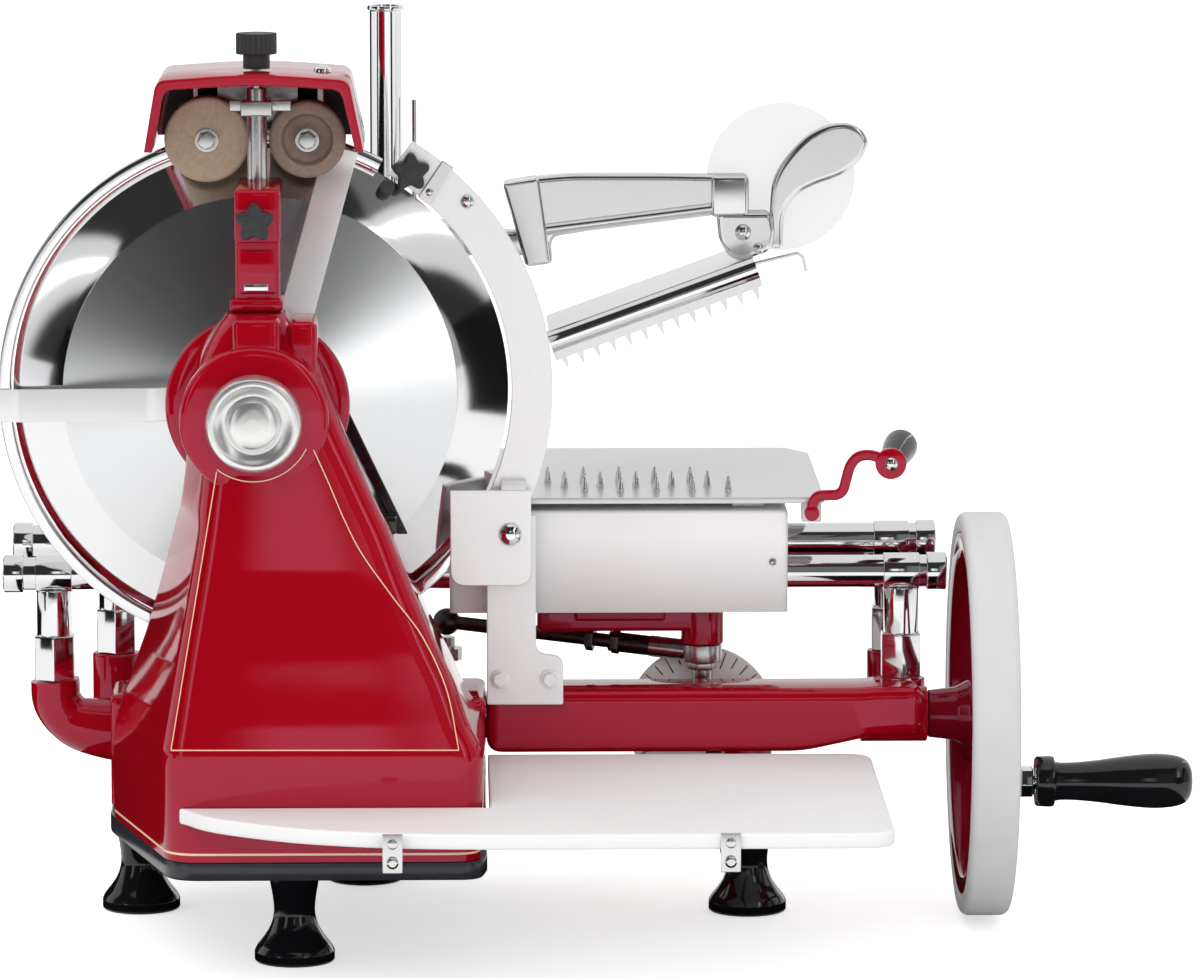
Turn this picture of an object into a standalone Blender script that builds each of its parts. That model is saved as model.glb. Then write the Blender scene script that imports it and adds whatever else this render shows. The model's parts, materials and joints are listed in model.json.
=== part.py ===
"""Flywheel meat slicer cranked by hand, modelled as its separate pieces.

Run with: blender --background --python part.py
Metres, +Z up, +X to the flywheel, +Y away from the operator's side. The pieces are laid out from the
blade's axis (X = 0), its cutting plane (Y = 0) and the floor (Z = 0). At the end everything moves, so
that the origin is the middle of the bottom of the whole machine.
"""
import math

import bmesh
import bpy
from mathutils import Matrix, Vector

# General
GAP = 0.0003
OVERRUN = 0.004
ROUND_STEPS = 20
FINE_STEPS = 40
COARSE_STEPS = 12

# Blade
BLADE_RADIUS = 0.150
BLADE_AXIS_HEIGHT = 0.332
BLADE_BEVEL = 0.0265
BLADE_FLAT_RADIUS = BLADE_RADIUS - BLADE_BEVEL
BLADE_DISH = 0.014
BLADE_BACK_HOLLOW = 0.005
BLADE_EDGE_WIDTH = 0.001

# Plinth and feet
FOOT_HEIGHT = 0.0627
FOOT_BASE_RADIUS = 0.0240
FOOT_NECK_RADIUS = 0.0120
FOOT_TOE = 0.006
FOOT_PAD_RADIUS = 0.015
PLINTH_HEIGHT = 0.0110
FRONT_FOOT_X = 0.0207
FRONT_FOOT_REACH = 0.100
LEFT_FOOT_X = -0.078
LEFT_FOOT_Y = 0.059
RIGHT_FOOT_X = 0.298
RIGHT_FOOT_Y = 0.044
REAR_FOOT_X = 0.060
REAR_FOOT_Y = 0.146
FOOT_STUD_RADIUS = 0.004

# Base casting
WALL = 0.0055
BASE_FRONT = 0.175
BASE_LEFT = 0.0945
BASE_RIGHT = 0.1360
BASE_FACE_LEFT = 0.050
COLUMN_BACK = 0.022
COLUMN_RISE = 0.060
COLUMN_TOP = BLADE_AXIS_HEIGHT + COLUMN_RISE
GEAR_CASE_BACK = 0.046
GEAR_CASE_HEIGHT = 0.147
REAR_CASE_BACK = 0.168
REAR_CASE_HEIGHT = 0.118
CASE_ROUNDING = 0.006
HUB_RADIUS = 0.044
HUB_FRONT = 0.1525
HUB_BACK = 0.084
FLANGE_RADIUS = 0.055
FLANGE_BACK = 0.066
CAP_RADIUS = 0.0283
CAP_REACH = 0.0185
CAP_FRONT = HUB_FRONT + CAP_REACH
CAP_DOME_RADIUS = 0.0150
CAP_DOME_RISE = 0.0045

# Slide rods and their posts
FRONT_ROD_RADIUS = 0.0080
FRONT_ROD_Y = 0.040
FRONT_ROD_HEIGHT = 0.213
REAR_ROD_RADIUS = 0.0120
REAR_ROD_Y = 0.143
REAR_ROD_HEIGHT = 0.217
ROD_LEFT = -0.160
ROD_RIGHT = 0.420
POST_LEFT_FRONT_X = -0.129
POST_LEFT_REAR_X = -0.096
POST_RIGHT_X = 0.392
POST_RADIUS = 0.0107
POST_HEX_WIDTH = 0.0238
POST_FOOT_HEIGHT = GEAR_CASE_HEIGHT
POST_HEX_HEIGHT = 0.028
POST_HEX_TOP = POST_FOOT_HEIGHT + POST_HEX_HEIGHT
POST_HEAD_LENGTH = 0.022
POST_HEAD_WALL = 0.0040
ARM_RADIUS = 0.0150
ARM_HEIGHT = 0.108

# Front and rear beams
BEAM_FRONT = 0.002
BEAM_BACK = 0.046
BEAM_BOTTOM = 0.107
BEAM_TOP = 0.146
BEAM_RIGHT = 0.404
BEAM_RISER_WIDTH = 0.028
REAR_BEAM_WIDTH = 0.030
REAR_BEAM_BOTTOM = 0.092
REAR_BEAM_TOP = 0.120

# Drive train
SHAFT_Y = 0.022
SHAFT_HEIGHT = 0.127
SHAFT_RADIUS = 0.0060
CROSS_SHAFT_X = 0.0245
COUNTERSHAFT_X = 0.0600
SPUR_MODULE = 0.0036
SPUR_WIDTH = 0.009
TOWER_GEAR_TEETH = 24
LOWER_IDLER_TEETH = 20
UPPER_IDLER_TEETH = 20
BLADE_PINION_TEETH = 12
GEAR_PLANE = 0.125
BEVEL_TEETH = 10
BEVEL_RADIUS = 0.0120
BEVEL_FACE_SHARE = 0.38
CRANK_GEAR_TEETH = 16
CRANK_X = 0.0245
CRANK_Y = 0.100
CRANK_GEAR_HEIGHT = 0.088
CRANK_RADIUS = 0.0875
CRANK_PIN_RADIUS = 0.0055
INNER_SHAFT_RADIUS = 0.0060
BLADE_SHAFT_RADIUS = 0.0115

# Flywheel
FLYWHEEL_RADIUS = 0.1240
FLYWHEEL_LEFT = 0.427
FLYWHEEL_WIDTH = 0.029
TYRE_THICKNESS = 0.0125
RIM_THICKNESS = 0.0110
SPOKE_COUNT = 5
SPOKE_WIDTH = 0.0150
SPOKE_THICKNESS = 0.0100
WHEEL_HUB_RADIUS = 0.0210
WHEEL_HUB_LEFT = 0.4075
HANDLE_REACH = 0.101
HANDLE_ANGLE_DEGREES = 194.0
HANDLE_END = 0.5607
HANDLE_PIN_RADIUS = 0.0048
HANDLE_FLANGE_RADIUS = 0.0100
HANDLE_BULGE_RADIUS = 0.0164

# Ring guard and what carries it
RING_CLEARANCE = 0.0008
RING_DEPTH = 0.0077
RING_INNER_RADIUS = BLADE_RADIUS + RING_CLEARANCE
RING_OUTER_RADIUS = RING_INNER_RADIUS + RING_DEPTH
RING_FRONT = 0.008
RING_BACK = 0.005
RING_START_DEGREES = 62.0
RING_END_DEGREES = 326.0
STRAP_WIDTH = 0.0200
STRAP_THICKNESS = 0.0030
STRAP_DROP = 0.0085
BRACE_TOP_X = 0.0500
BRACE_FOOT_X = 0.0180
BRACE_FOOT_RISE = 0.034

# Gauge plate and its bracket
GAUGE_CLEARANCE = 0.0020
GAUGE_WIDTH = 0.0250
GAUGE_INNER_RADIUS = BLADE_RADIUS + GAUGE_CLEARANCE
GAUGE_OUTER_RADIUS = GAUGE_INNER_RADIUS + GAUGE_WIDTH
GAUGE_TOP_DEGREES = 59.5
GAUGE_THICKNESS = 0.0030
TAB_LEFT = 0.1145
TAB_RIGHT = 0.1637
DOME_NUT_DROP = 0.0874
DOME_NUT_HEIGHT = BLADE_AXIS_HEIGHT - DOME_NUT_DROP
TAB_BELOW_NUT = 0.0316
TAB_ABOVE_NUT = 0.0269
TAB_BOTTOM = DOME_NUT_HEIGHT - TAB_BELOW_NUT
TAB_TOP = DOME_NUT_HEIGHT + TAB_ABOVE_NUT
TAB_LAP = 0.0143
GAUGE_DROP = BLADE_AXIS_HEIGHT - TAB_TOP + TAB_LAP
GAUGE_BOTTOM_DEGREES = -math.degrees(math.asin(GAUGE_DROP / GAUGE_OUTER_RADIUS))
TAB_CORNER = 0.010
BRACKET_LEFT = 0.1366
BRACKET_RIGHT = 0.1666
BRACKET_FOOT_RIGHT = 0.1832
BRACKET_LAP = 0.0080
BRACKET_SHOULDER_RISE = 0.0230
BRACKET_BOTTOM = BEAM_TOP - BRACKET_LAP
BRACKET_SHOULDER = BEAM_TOP + BRACKET_SHOULDER_RISE
DOME_NUT_X = 0.1510
DOME_NUT_RADIUS = 0.0070
BRACKET_BOLT_RISE = 0.0080
BRACKET_BOLT_HEIGHT = BEAM_TOP + BRACKET_BOLT_RISE
BRACKET_BOLT_XS = (0.1445, 0.1750)
BRACKET_BOLT_RADIUS = 0.0060
STAR_RADIUS = 0.0115
STAR_DEPTH = 0.0090
STAR_LOBES = 5
GAUGE_STAR_INSET = 0.00913
GAUGE_STAR_DEGREES = 55.4425
GAUGE_STAR_REACH = GAUGE_INNER_RADIUS + GAUGE_STAR_INSET
GAUGE_STAR_X = GAUGE_STAR_REACH * math.cos(math.radians(GAUGE_STAR_DEGREES))
GAUGE_STAR_HEIGHT = BLADE_AXIS_HEIGHT + GAUGE_STAR_REACH * math.sin(math.radians(GAUGE_STAR_DEGREES))

# Slice deflector
DEFLECTOR_RISE = 0.012
DEFLECTOR_DROP = 0.086
DEFLECTOR_TOP = BLADE_AXIS_HEIGHT + DEFLECTOR_RISE
DEFLECTOR_BOTTOM = BLADE_AXIS_HEIGHT - DEFLECTOR_DROP
DEFLECTOR_TOP_X = 0.0450
DEFLECTOR_BOTTOM_X = 0.0905
DEFLECTOR_WIDTH = 0.0120
DEFLECTOR_THICKNESS = 0.0030
DEFLECTOR_BACK = 0.0185

# Upper arm and sharpener
STONE_ABOVE_BLADE = 0.0050
STONE_HEIGHT = BLADE_AXIS_HEIGHT + BLADE_RADIUS + STONE_ABOVE_BLADE
ARM_LEFT = 0.0120
ARM_RIGHT = 0.0150
ARM_BACK = 0.030
ARM_BELOW_STONES = 0.0225
ARM_TOP = STONE_HEIGHT - ARM_BELOW_STONES
ARM_COLLAR_HEIGHT = 0.0080
ARM_COLLAR_TOP = COLUMN_TOP + ARM_COLLAR_HEIGHT
SHARPENER_Y = -0.048
SHARPENER_SHAFT_RADIUS = 0.0060
COVER_LEFT = -0.0680
COVER_RIGHT = 0.0640
COVER_BELOW_STONES = 0.0035
COVER_HEIGHT = 0.0425
COVER_BOTTOM = STONE_HEIGHT - COVER_BELOW_STONES
COVER_TOP = COVER_BOTTOM + COVER_HEIGHT
COVER_FRONT = 0.080
COVER_BACK = 0.030
COVER_WALL = 0.0066
COVER_TAPER = 0.0080
SHARPENER_KNOB_RADIUS = 0.0124
SHARPENER_KNOB_RISE = 0.0220
SHARPENER_KNOB_TOP = COVER_TOP + SHARPENER_KNOB_RISE
SHARPENER_KNOB_HEIGHT = 0.0120
SHARPENER_STEM_RADIUS = 0.0080
LEFT_STONE_X = -0.0304
LEFT_STONE_RADIUS = 0.0255
RIGHT_STONE_X = 0.0297
RIGHT_STONE_RADIUS = 0.0230
STONE_BACK = 0.0165
STONE_WIDTH = 0.0200
STONE_CUP_RADIUS = 0.0156
STONE_CUP_DEPTH = 0.007
SPINDLE_RADIUS = 0.0045

# Carriage
BOX_LEFT = 0.1140
BOX_RIGHT = 0.3210
BOX_FRONT = 0.0120
BOX_BACK = 0.2050
BOX_BOTTOM = 0.1920
BOX_TOP = 0.2550
BOX_WALL = 0.0030
LINK_X = 0.2703
LINK_Y = 0.060
LINK_BOSS_RADIUS = 0.0132
LINK_BOSS_BOTTOM = 0.1655
LINK_BAR_LEFT = 0.1680
LINK_BAR_DEPTH = 0.0220
LINK_BAR_HEIGHT = 0.0160
LINK_PIN_RADIUS = 0.0045
LINK_NUT_RADIUS = 0.0088
LINK_PIN_BOTTOM = 0.1365
ROD_EYE_RADIUS = 0.0123
ROD_EYE_HEIGHT = 0.0115
ROD_RADIUS = 0.0045
ROD_BALL_RADIUS = 0.0085

# Product table
TABLE_RISE = 0.0090
TABLE_TOP = BOX_TOP + TABLE_RISE
TABLE_THICKNESS = 0.0040
TABLE_LEFT = 0.0500
TABLE_RIGHT = 0.3430
TABLE_FRONT = 0.0060
TABLE_BACK = 0.2300
TABLE_CORNER_X = 0.0143
TABLE_CORNER_Y = 0.0250
SPIKE_HEIGHT = 0.0110
SPIKE_PITCH = 0.0220
SPIKE_RADIUS = 0.0022
SPIKES_PER_ROW = 5
SPIKE_ROWS = ((0.1750, 0.070), (0.1850, 0.050), (0.1970, 0.028))

# Release lever
LEVER_Y = 0.0030
LEVER_RING_X = 0.3830
LEVER_RING_RISE = 0.0210
LEVER_RING_HEIGHT = TABLE_TOP + LEVER_RING_RISE
LEVER_RING_RADIUS = 0.0085
LEVER_BAR = 0.0080
LEVER_THICKNESS = 0.0050
LEVER_GRIP_RADIUS = 0.0105
LEVER_GRIP_LENGTH = 0.034

# Product press
POST_X = 0.0750
POST_Y = 0.150
PRESS_POST_RADIUS = 0.0100
PRESS_POST_TOP = 0.5540
PRESS_POST_RIM = 0.0015
CARRIER_BOTTOM = 0.3940
CARRIER_HEIGHT = 0.0340
CARRIER_WALL = 0.0060
PRESS_Y = 0.105
PRESS_ARM_DEPTH = 0.0240
PRESS_PLATE_FRONT = 0.062
PRESS_PLATE_BACK = 0.185
PRESS_PLATE_THICKNESS = 0.0030
PRESS_ROLL_RADIUS = 0.0070
COMB_TEETH = 12
GUARD_DISC_X = 0.3207
GUARD_DISC_HEIGHT = 0.4493
GUARD_DISC_RADIUS = 0.0460
GUARD_DISC_THICKNESS = 0.0030

# Tray
TRAY_TOP = 0.1070
TRAY_THICKNESS = 0.0090
TRAY_RIGHT = 0.3710
TRAY_FRONT = 0.2620
TRAY_CORNER = 0.020
CLIP_XS = (0.0810, 0.2755)
CLIP_WIDTH = 0.0115
CLIP_TOP = 0.1080
CLIP_BOTTOM = 0.0850
CLIP_THICKNESS = 0.0020

# Thickness dial
DIAL_X = 0.2706
DIAL_HEIGHT = 0.1123
DIAL_RADIUS = 0.0465
DIAL_THICKNESS = 0.0050
DIAL_STUD_RADIUS = 0.0040
DIAL_SPACER = 0.0020

# Smaller sizes of the pieces
CRANK_BOSS_RADIUS = 0.0130
CRANK_ARM_BOTTOM = 0.1485
CRANK_ARM_THICKNESS = 0.0080
CRANK_ARM_RADIUS = 0.0100
CRANK_CLEARANCE = 0.0015
IDLER_PIN_RADIUS = 0.0050
DEDENDUM_SHARE = 1.15
ADDENDUM_SHARE = 0.85
ROOT_SHARE = 0.27
TIP_SHARE = 0.12
BLADE_CARRIER_RADIUS = 0.0300
CARRIER_STEP = 0.0040
ROD_COLLAR_WALL = 0.0025
ROD_COLLAR_LENGTH = 0.0120
ROD_CLEARANCE = 0.0020
ROD_END_HEIGHT = 0.1725
SOCKET_END_SHARE = 0.30
JAM_NUT_SHARES = (0.32, 0.42)
JAM_NUT_RADIUS = 0.0075
JAM_NUT_WIDTH = 0.0050
WHEEL_BOSS_RADIUS = 0.0170
WHEEL_HUB_END_SHARE = 0.66
HANDLE_BOSS_RADIUS = 0.0090
HANDLE_NUT_WIDTH = 0.0090
HANDLE_CAP = 0.0080
# Each pair: how far along the grip, and its radius there as a share of the widest
HANDLE_SHARES = (
    (1.00, 0.45),
    (0.96, 0.78),
    (0.85, 0.97),
    (0.70, 0.99),
    (0.40, 0.78),
    (0.15, 0.68),
    (0.13, 0.93),
    (0.00, 0.96),
)
CAP_RIM = 0.0050
RING_STEP_DEGREES = 8.0
RING_FOOT_WIDTH = 0.0240
STRAP_END_SHARE = 0.8
BRACE_BEND_SHARES = (0.14, 0.88)
STAR_WAVE_SHARE = 0.12
STAR_STEM_RADIUS = 0.0025
TAB_FRONT = 0.0146
TAB_STEP_LEFT = 0.1450
BRACKET_ABOVE_NUT = 0.0104
BRACKET_TOP = DOME_NUT_HEIGHT + BRACKET_ABOVE_NUT
NUT_SHANK_RADIUS = 0.0030
SLIDER_BACK = 0.0140
DOME_HEIGHT_SHARE = 0.75
DEFLECTOR_LUG_FRONT = 0.0340
ARM_ROOT_FRONT = 0.112
ARM_HEAD_HEIGHT = 0.0325
ARM_HEAD_BOTTOM = ARM_TOP - ARM_HEAD_HEIGHT
ARM_ROUNDING = 0.0030
ARM_STAR_DROP = 0.0190
ARM_STAR_HEIGHT = ARM_TOP - ARM_STAR_DROP
EAR_OUTER = 0.0400
EAR_WIDTH = 0.0140
BRIDGE_RISE = 0.0160
BRIDGE_BOTTOM = STONE_HEIGHT + BRIDGE_RISE
BRIDGE_HALF_WIDTH = 0.0095
BRIDGE_THICKNESS = 0.0090
SHARPENER_STUD_RADIUS = 0.0030
SPINDLE_HEAD = 0.0060
STONE_EDGE = 0.0015
BEARING_WALL = 0.0060
BEARING_INSET = 0.0120
LINK_BAR_BOTTOM = 0.1740
LINK_WEB = 0.0100
LINK_PIN_DEPTH = 0.0080
LINK_NUT_HEIGHT = 0.0045
LINK_TAIL_RADIUS = 0.0066
RUNNER_WIDTH = 0.0200
RUNNER_INSET = 0.0120
LEVER_PIVOT_DROP = 0.0095
LEVER_PIVOT = (0.3350, TABLE_TOP - LEVER_PIVOT_DROP)
LEVER_LUG = 0.0120
LEVER_PIN_RADIUS = 0.0025
LEVER_EYE_RADIUS = 0.0055
LEVER_GRIP_LEAN_SHARES = (0.24, 0.95, 0.19)
POST_FLANGE = 0.0050
POST_FLANGE_SHARE = 1.6
GUIDE_RADIUS = 0.0016
GUIDE_OFFSET = 0.0176
GUIDE_TOP = 0.4950
PRESS_HINGE = (0.1120, 0.4100)
HINGE_EYE_RADIUS = 0.0120
HINGE_PIN_RADIUS = 0.0050
PRESS_BAR_END = 0.1720
PRESS_ARM_OUTLINE = (
    (0.1636, 0.3950),
    (0.1786, 0.3975),
    (0.1774, 0.4137),
    (0.2784, 0.4293),
    (0.3000, 0.4260),
    (0.3000, 0.4518),
    (0.1880, 0.4530),
    (0.1668, 0.4510),
    (0.1480, 0.4474),
)
PRESS_CLAMP_XS = (0.2790, 0.3136)
PRESS_CLAMP_TOP = 0.4290
PRESS_PLATE_LOW = (0.1760, 0.3535)
PRESS_PLATE_HIGH = (0.3030, 0.3995)
COMB_TOOTH_DEPTH = 0.0065
COMB_THICKNESS = 0.0025
PADDLE_OUTLINE = (
    (0.3139, 0.4042),
    (0.3233, 0.4042),
    (0.3264, 0.4260),
    (0.3420, 0.4460),
    (0.3770, 0.4728),
    (0.3700, 0.4816),
    (0.3500, 0.4834),
    (0.3327, 0.4728),
    (0.3220, 0.4479),
    (0.3139, 0.4292),
)
PADDLE_THICKNESS = 0.0070
TRAY_CLEARANCE = 0.0010
TRAY_TIP_X = -0.0445
TRAY_CURVE_X = 0.0680
CLIP_BAR = 0.0050
CLIP_HEAD_RADIUS = 0.0035
CLIP_HEAD_SHARES = (0.28, 0.76)
DIAL_FRONT = 0.0840
SPIKE_SIDES = 5
SPIKE_TIP_SHARE = 0.15
STEP_WALL = 0.0050
CROSS_SHAFT_SEAT = 0.0150

PAINT = {
    "enamel": ((0.42, 0.01, 0.03), 0.25, 0.0),
    "black": ((0.02, 0.02, 0.02), 0.3, 0.0),
    "chrome": ((0.80, 0.80, 0.80), 0.12, 1.0),
    "steel": ((0.62, 0.62, 0.61), 0.3, 1.0),
    "pale_steel": ((0.78, 0.78, 0.76), 0.4, 0.6),
    "iron": ((0.20, 0.20, 0.21), 0.45, 0.9),
    "white": ((0.88, 0.88, 0.87), 0.4, 0.0),
    "grit": ((0.33, 0.20, 0.12), 0.9, 0.0),
    "clear": ((0.90, 0.92, 0.92), 0.15, 0.0),
    "knob": ((0.05, 0.05, 0.055), 0.6, 0.0),
}


def clear_scene():
    for obj in list(bpy.data.objects):
        bpy.data.objects.remove(obj, do_unlink=True)


def new_collection(name):
    made = bpy.data.collections.new(name)
    bpy.context.scene.collection.children.link(made)
    return made


clear_scene()
PIECES = new_collection("meat_slicer")
CUTTERS = new_collection("cutters")
CUTTERS.hide_render = True


def paint(obj, name):
    """Gives the object its own Principled material in one of the machine's finishes."""
    color, roughness, metallic = PAINT[name]
    made = bpy.data.materials.new(obj.name)
    made.use_nodes = True
    shader = made.node_tree.nodes["Principled BSDF"]
    shader.inputs["Base Color"].default_value = (*color, 1.0)
    shader.inputs["Roughness"].default_value = roughness
    shader.inputs["Metallic"].default_value = metallic
    obj.data.materials.clear()
    obj.data.materials.append(made)


def place_object(name, mesh, finish, at=(0, 0, 0), rotation=(0, 0, 0)):
    """A piece of the machine, or a helper for a join or a cut where the finish is None."""
    obj = bpy.data.objects.new(name, mesh)
    obj.location = at
    obj.rotation_euler = rotation
    if finish:
        PIECES.objects.link(obj)
        mesh.shade_smooth()
        mesh.set_sharp_from_angle(angle=math.radians(35))
        paint(obj, finish)
    else:
        CUTTERS.objects.link(obj)
        obj.hide_render = True
        obj.display_type = "WIRE"
    return obj


TURNS = {
    "X": (0, math.pi / 2, 0),
    "-X": (0, -math.pi / 2, 0),
    "Y": (-math.pi / 2, 0, 0),
    "-Y": (math.pi / 2, 0, 0),
    "Z": (0, 0, 0),
    "-Z": (math.pi, 0, 0),
}


def mesh_of(name, fill):
    """A mesh filled in by a function that takes a bmesh."""
    mesh = bpy.data.meshes.new(name)
    work = bmesh.new()
    fill(work)
    bmesh.ops.recalc_face_normals(work, faces=work.faces)
    work.to_mesh(mesh)
    work.free()
    return mesh


def block(name, low, high, finish=None, rounding=0, at=(0, 0, 0)):
    """A box between two corners, with its edges rounded where asked."""
    low = Vector(low) - Vector(at)
    high = Vector(high) - Vector(at)

    def fill(work):
        bmesh.ops.create_cube(work, size=1)
        for vertex in work.verts:
            vertex.co = [low[i] if vertex.co[i] < 0 else high[i] for i in range(3)]

    obj = place_object(name, mesh_of(name, fill), finish, at)
    if rounding:
        round_edges(obj, rounding)
    return obj


def round_edges(obj, width, segments=2):
    bevel = obj.modifiers.new("rounded_edges", "BEVEL")
    bevel.width = width
    bevel.segments = segments
    bevel.limit_method = "ANGLE"
    bevel.angle_limit = math.radians(40)


def cylinder(name, radius, start, length, axis, finish=None, steps=ROUND_STEPS, tip_radius=None):
    """A round bar, or a cone with a tip radius, that runs from its start along an axis."""

    def fill(work):
        bmesh.ops.create_cone(
            work,
            cap_ends=True,
            segments=steps,
            radius1=radius,
            radius2=radius if tip_radius is None else tip_radius,
            depth=length,
            matrix=Matrix.Translation((0, 0, length / 2)),
        )

    return place_object(name, mesh_of(name, fill), finish, start, TURNS[axis])


def turned(name, profile, at, axis, finish=None, steps=ROUND_STEPS, closed=False):
    """A turned piece. The profile holds (radius, distance along the axis), top to bottom outside."""
    mesh = bpy.data.meshes.new(name)
    points = [(radius, 0, height) for radius, height in profile]
    edges = [(i, i + 1) for i in range(len(points) - 1)]
    if closed:
        edges.append((len(points) - 1, 0))
    mesh.from_pydata(points, edges, [])
    obj = place_object(name, mesh, finish, at, TURNS[axis])
    screw = obj.modifiers.new("turned", "SCREW")
    screw.steps = steps
    screw.render_steps = steps
    screw.use_merge_vertices = True
    screw.merge_threshold = 0.00001
    screw.use_normal_calculate = closed
    return obj


def curve_mesh(curve):
    """The closed mesh of a curve, with its caps welded."""
    guide = bpy.data.objects.new(curve.name, curve)
    bpy.context.scene.collection.objects.link(guide)
    graph = bpy.context.evaluated_depsgraph_get()
    mesh = bpy.data.meshes.new_from_object(guide.evaluated_get(graph))
    bpy.data.objects.remove(guide, do_unlink=True)
    work = bmesh.new()
    work.from_mesh(mesh)
    bmesh.ops.remove_doubles(work, verts=work.verts, dist=0.000005)
    bmesh.ops.recalc_face_normals(work, faces=work.faces)
    work.to_mesh(mesh)
    work.free()
    return mesh


def plate(name, outline, thickness, facing, middle, finish=None, holes=(), at=(0, 0, 0)):
    """A flat plate square to an axis: the outline holds (y, z), (x, z) or (x, y) of its two other axes."""
    axis = "XYZ".index(facing)
    across = [i for i in range(3) if i != axis]
    curve = bpy.data.curves.new(name, "CURVE")
    curve.dimensions = "2D"
    curve.fill_mode = "BOTH"
    curve.extrude = thickness / 2
    for loop in (outline, *holes):
        spline = curve.splines.new("POLY")
        spline.points.add(len(loop) - 1)
        for point, (u, v) in zip(spline.points, loop):
            point.co = (u - at[across[0]], v - at[across[1]], 0, 1)
        spline.use_cyclic_u = True
    mesh = curve_mesh(curve)
    turn = Matrix.Identity(4)
    if facing == "Y":
        turn = Matrix.Rotation(math.pi / 2, 4, "X")
    if facing == "X":
        turn = Matrix.Rotation(math.pi / 2, 4, "Z") @ Matrix.Rotation(math.pi / 2, 4, "X")
    mesh.transform(turn)
    shift = Vector((0, 0, 0))
    shift[axis] = middle - at[axis]
    mesh.transform(Matrix.Translation(shift))
    return place_object(name, mesh, finish, at)


def tube(name, points, radius, finish=None, sides=3):
    """A round bar along a list of points."""
    curve = bpy.data.curves.new(name, "CURVE")
    curve.dimensions = "3D"
    curve.bevel_depth = radius
    curve.bevel_resolution = sides
    curve.use_fill_caps = True
    spline = curve.splines.new("POLY")
    spline.points.add(len(points) - 1)
    for target, source in zip(spline.points, points):
        target.co = (*source, 1)
    return place_object(name, curve_mesh(curve), finish)


def loft(name, rings, finish=None, at=(0, 0, 0), fans=False):
    """A closed body through rings of equal counts, capped at both ends, with fans where caps aren't flat."""

    def fill(work):
        loops = [[work.verts.new(Vector(p) - Vector(at)) for p in ring] for ring in rings]
        count = len(loops[0])
        for below, above in zip(loops, loops[1:]):
            for i in range(count):
                j = (i + 1) % count
                work.faces.new((below[i], below[j], above[j], above[i]))
        for ring in (list(reversed(loops[0])), loops[-1]):
            if not fans:
                work.faces.new(ring)
                continue
            middle = work.verts.new(sum((v.co for v in ring), Vector()) / count)
            for i in range(count):
                work.faces.new((ring[i], ring[(i + 1) % count], middle))

    return place_object(name, mesh_of(name, fill), finish, at)


def combine(target, helpers, operation="UNION"):
    """Joins helpers to a piece, or cuts them from it. A Boolean modifier takes each helper."""
    for helper in helpers:
        boolean = target.modifiers.new(f"{operation.lower()}_{helper.name}", "BOOLEAN")
        boolean.operation = operation
        boolean.solver = "EXACT"
        boolean.object = helper


def cut(target, helpers):
    combine(target, helpers, "DIFFERENCE")


def arc(centre, radius, start_degrees, end_degrees, steps):
    """Points of an arc, both ends included."""
    made = []
    for i in range(steps + 1):
        angle = math.radians(start_degrees + (end_degrees - start_degrees) * i / steps)
        made.append((centre[0] + radius * math.cos(angle), centre[1] + radius * math.sin(angle)))
    return made


def ring_outline(centre, radius, steps=ROUND_STEPS):
    return arc(centre, radius, 0, 360 - 360 / steps, steps - 1)


def rounded(corners, radii, steps=4):
    """An outline with its corners rounded. A radius of zero leaves its corner sharp."""
    made = []
    count = len(corners)
    for i, corner in enumerate(corners):
        here = Vector(corner)
        back = Vector(corners[i - 1]) - here
        ahead = Vector(corners[(i + 1) % count]) - here
        radius = radii[i]
        if not radius:
            made.append(tuple(here))
            continue
        half = back.angle(ahead) / 2
        reach = min(radius / math.tan(half), back.length / 2.05, ahead.length / 2.05)
        start = here + back.normalized() * reach
        end = here + ahead.normalized() * reach
        for k in range(steps + 1):
            t = k / steps
            made.append(tuple(start * (1 - t) ** 2 + here * 2 * t * (1 - t) + end * t * t))
    return made


PLINTH_BOTTOM = FOOT_HEIGHT + GAP
BASE_BOTTOM = PLINTH_BOTTOM + PLINTH_HEIGHT + GAP


def idler_places():
    """The idlers' axes, as (x, z): the lower one towards the blade, the upper one to the right of the line."""
    first = Vector((CROSS_SHAFT_X, SHAFT_HEIGHT))
    last = Vector((0, BLADE_AXIS_HEIGHT))
    half = SPUR_MODULE / 2
    lower = first + (last - first).normalized() * half * (TOWER_GEAR_TEETH + LOWER_IDLER_TEETH)
    near = half * (LOWER_IDLER_TEETH + UPPER_IDLER_TEETH)
    far = half * (UPPER_IDLER_TEETH + BLADE_PINION_TEETH)
    line = last - lower
    along = (near**2 - far**2 + line.length**2) / (2 * line.length)
    aside = math.sqrt(max(near**2 - along**2, 0))
    way = line.normalized()
    upper = lower + way * along + Vector((way.y, -way.x)) * aside
    return tuple(lower), tuple(upper)


LOWER_IDLER, UPPER_IDLER = idler_places()

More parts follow.
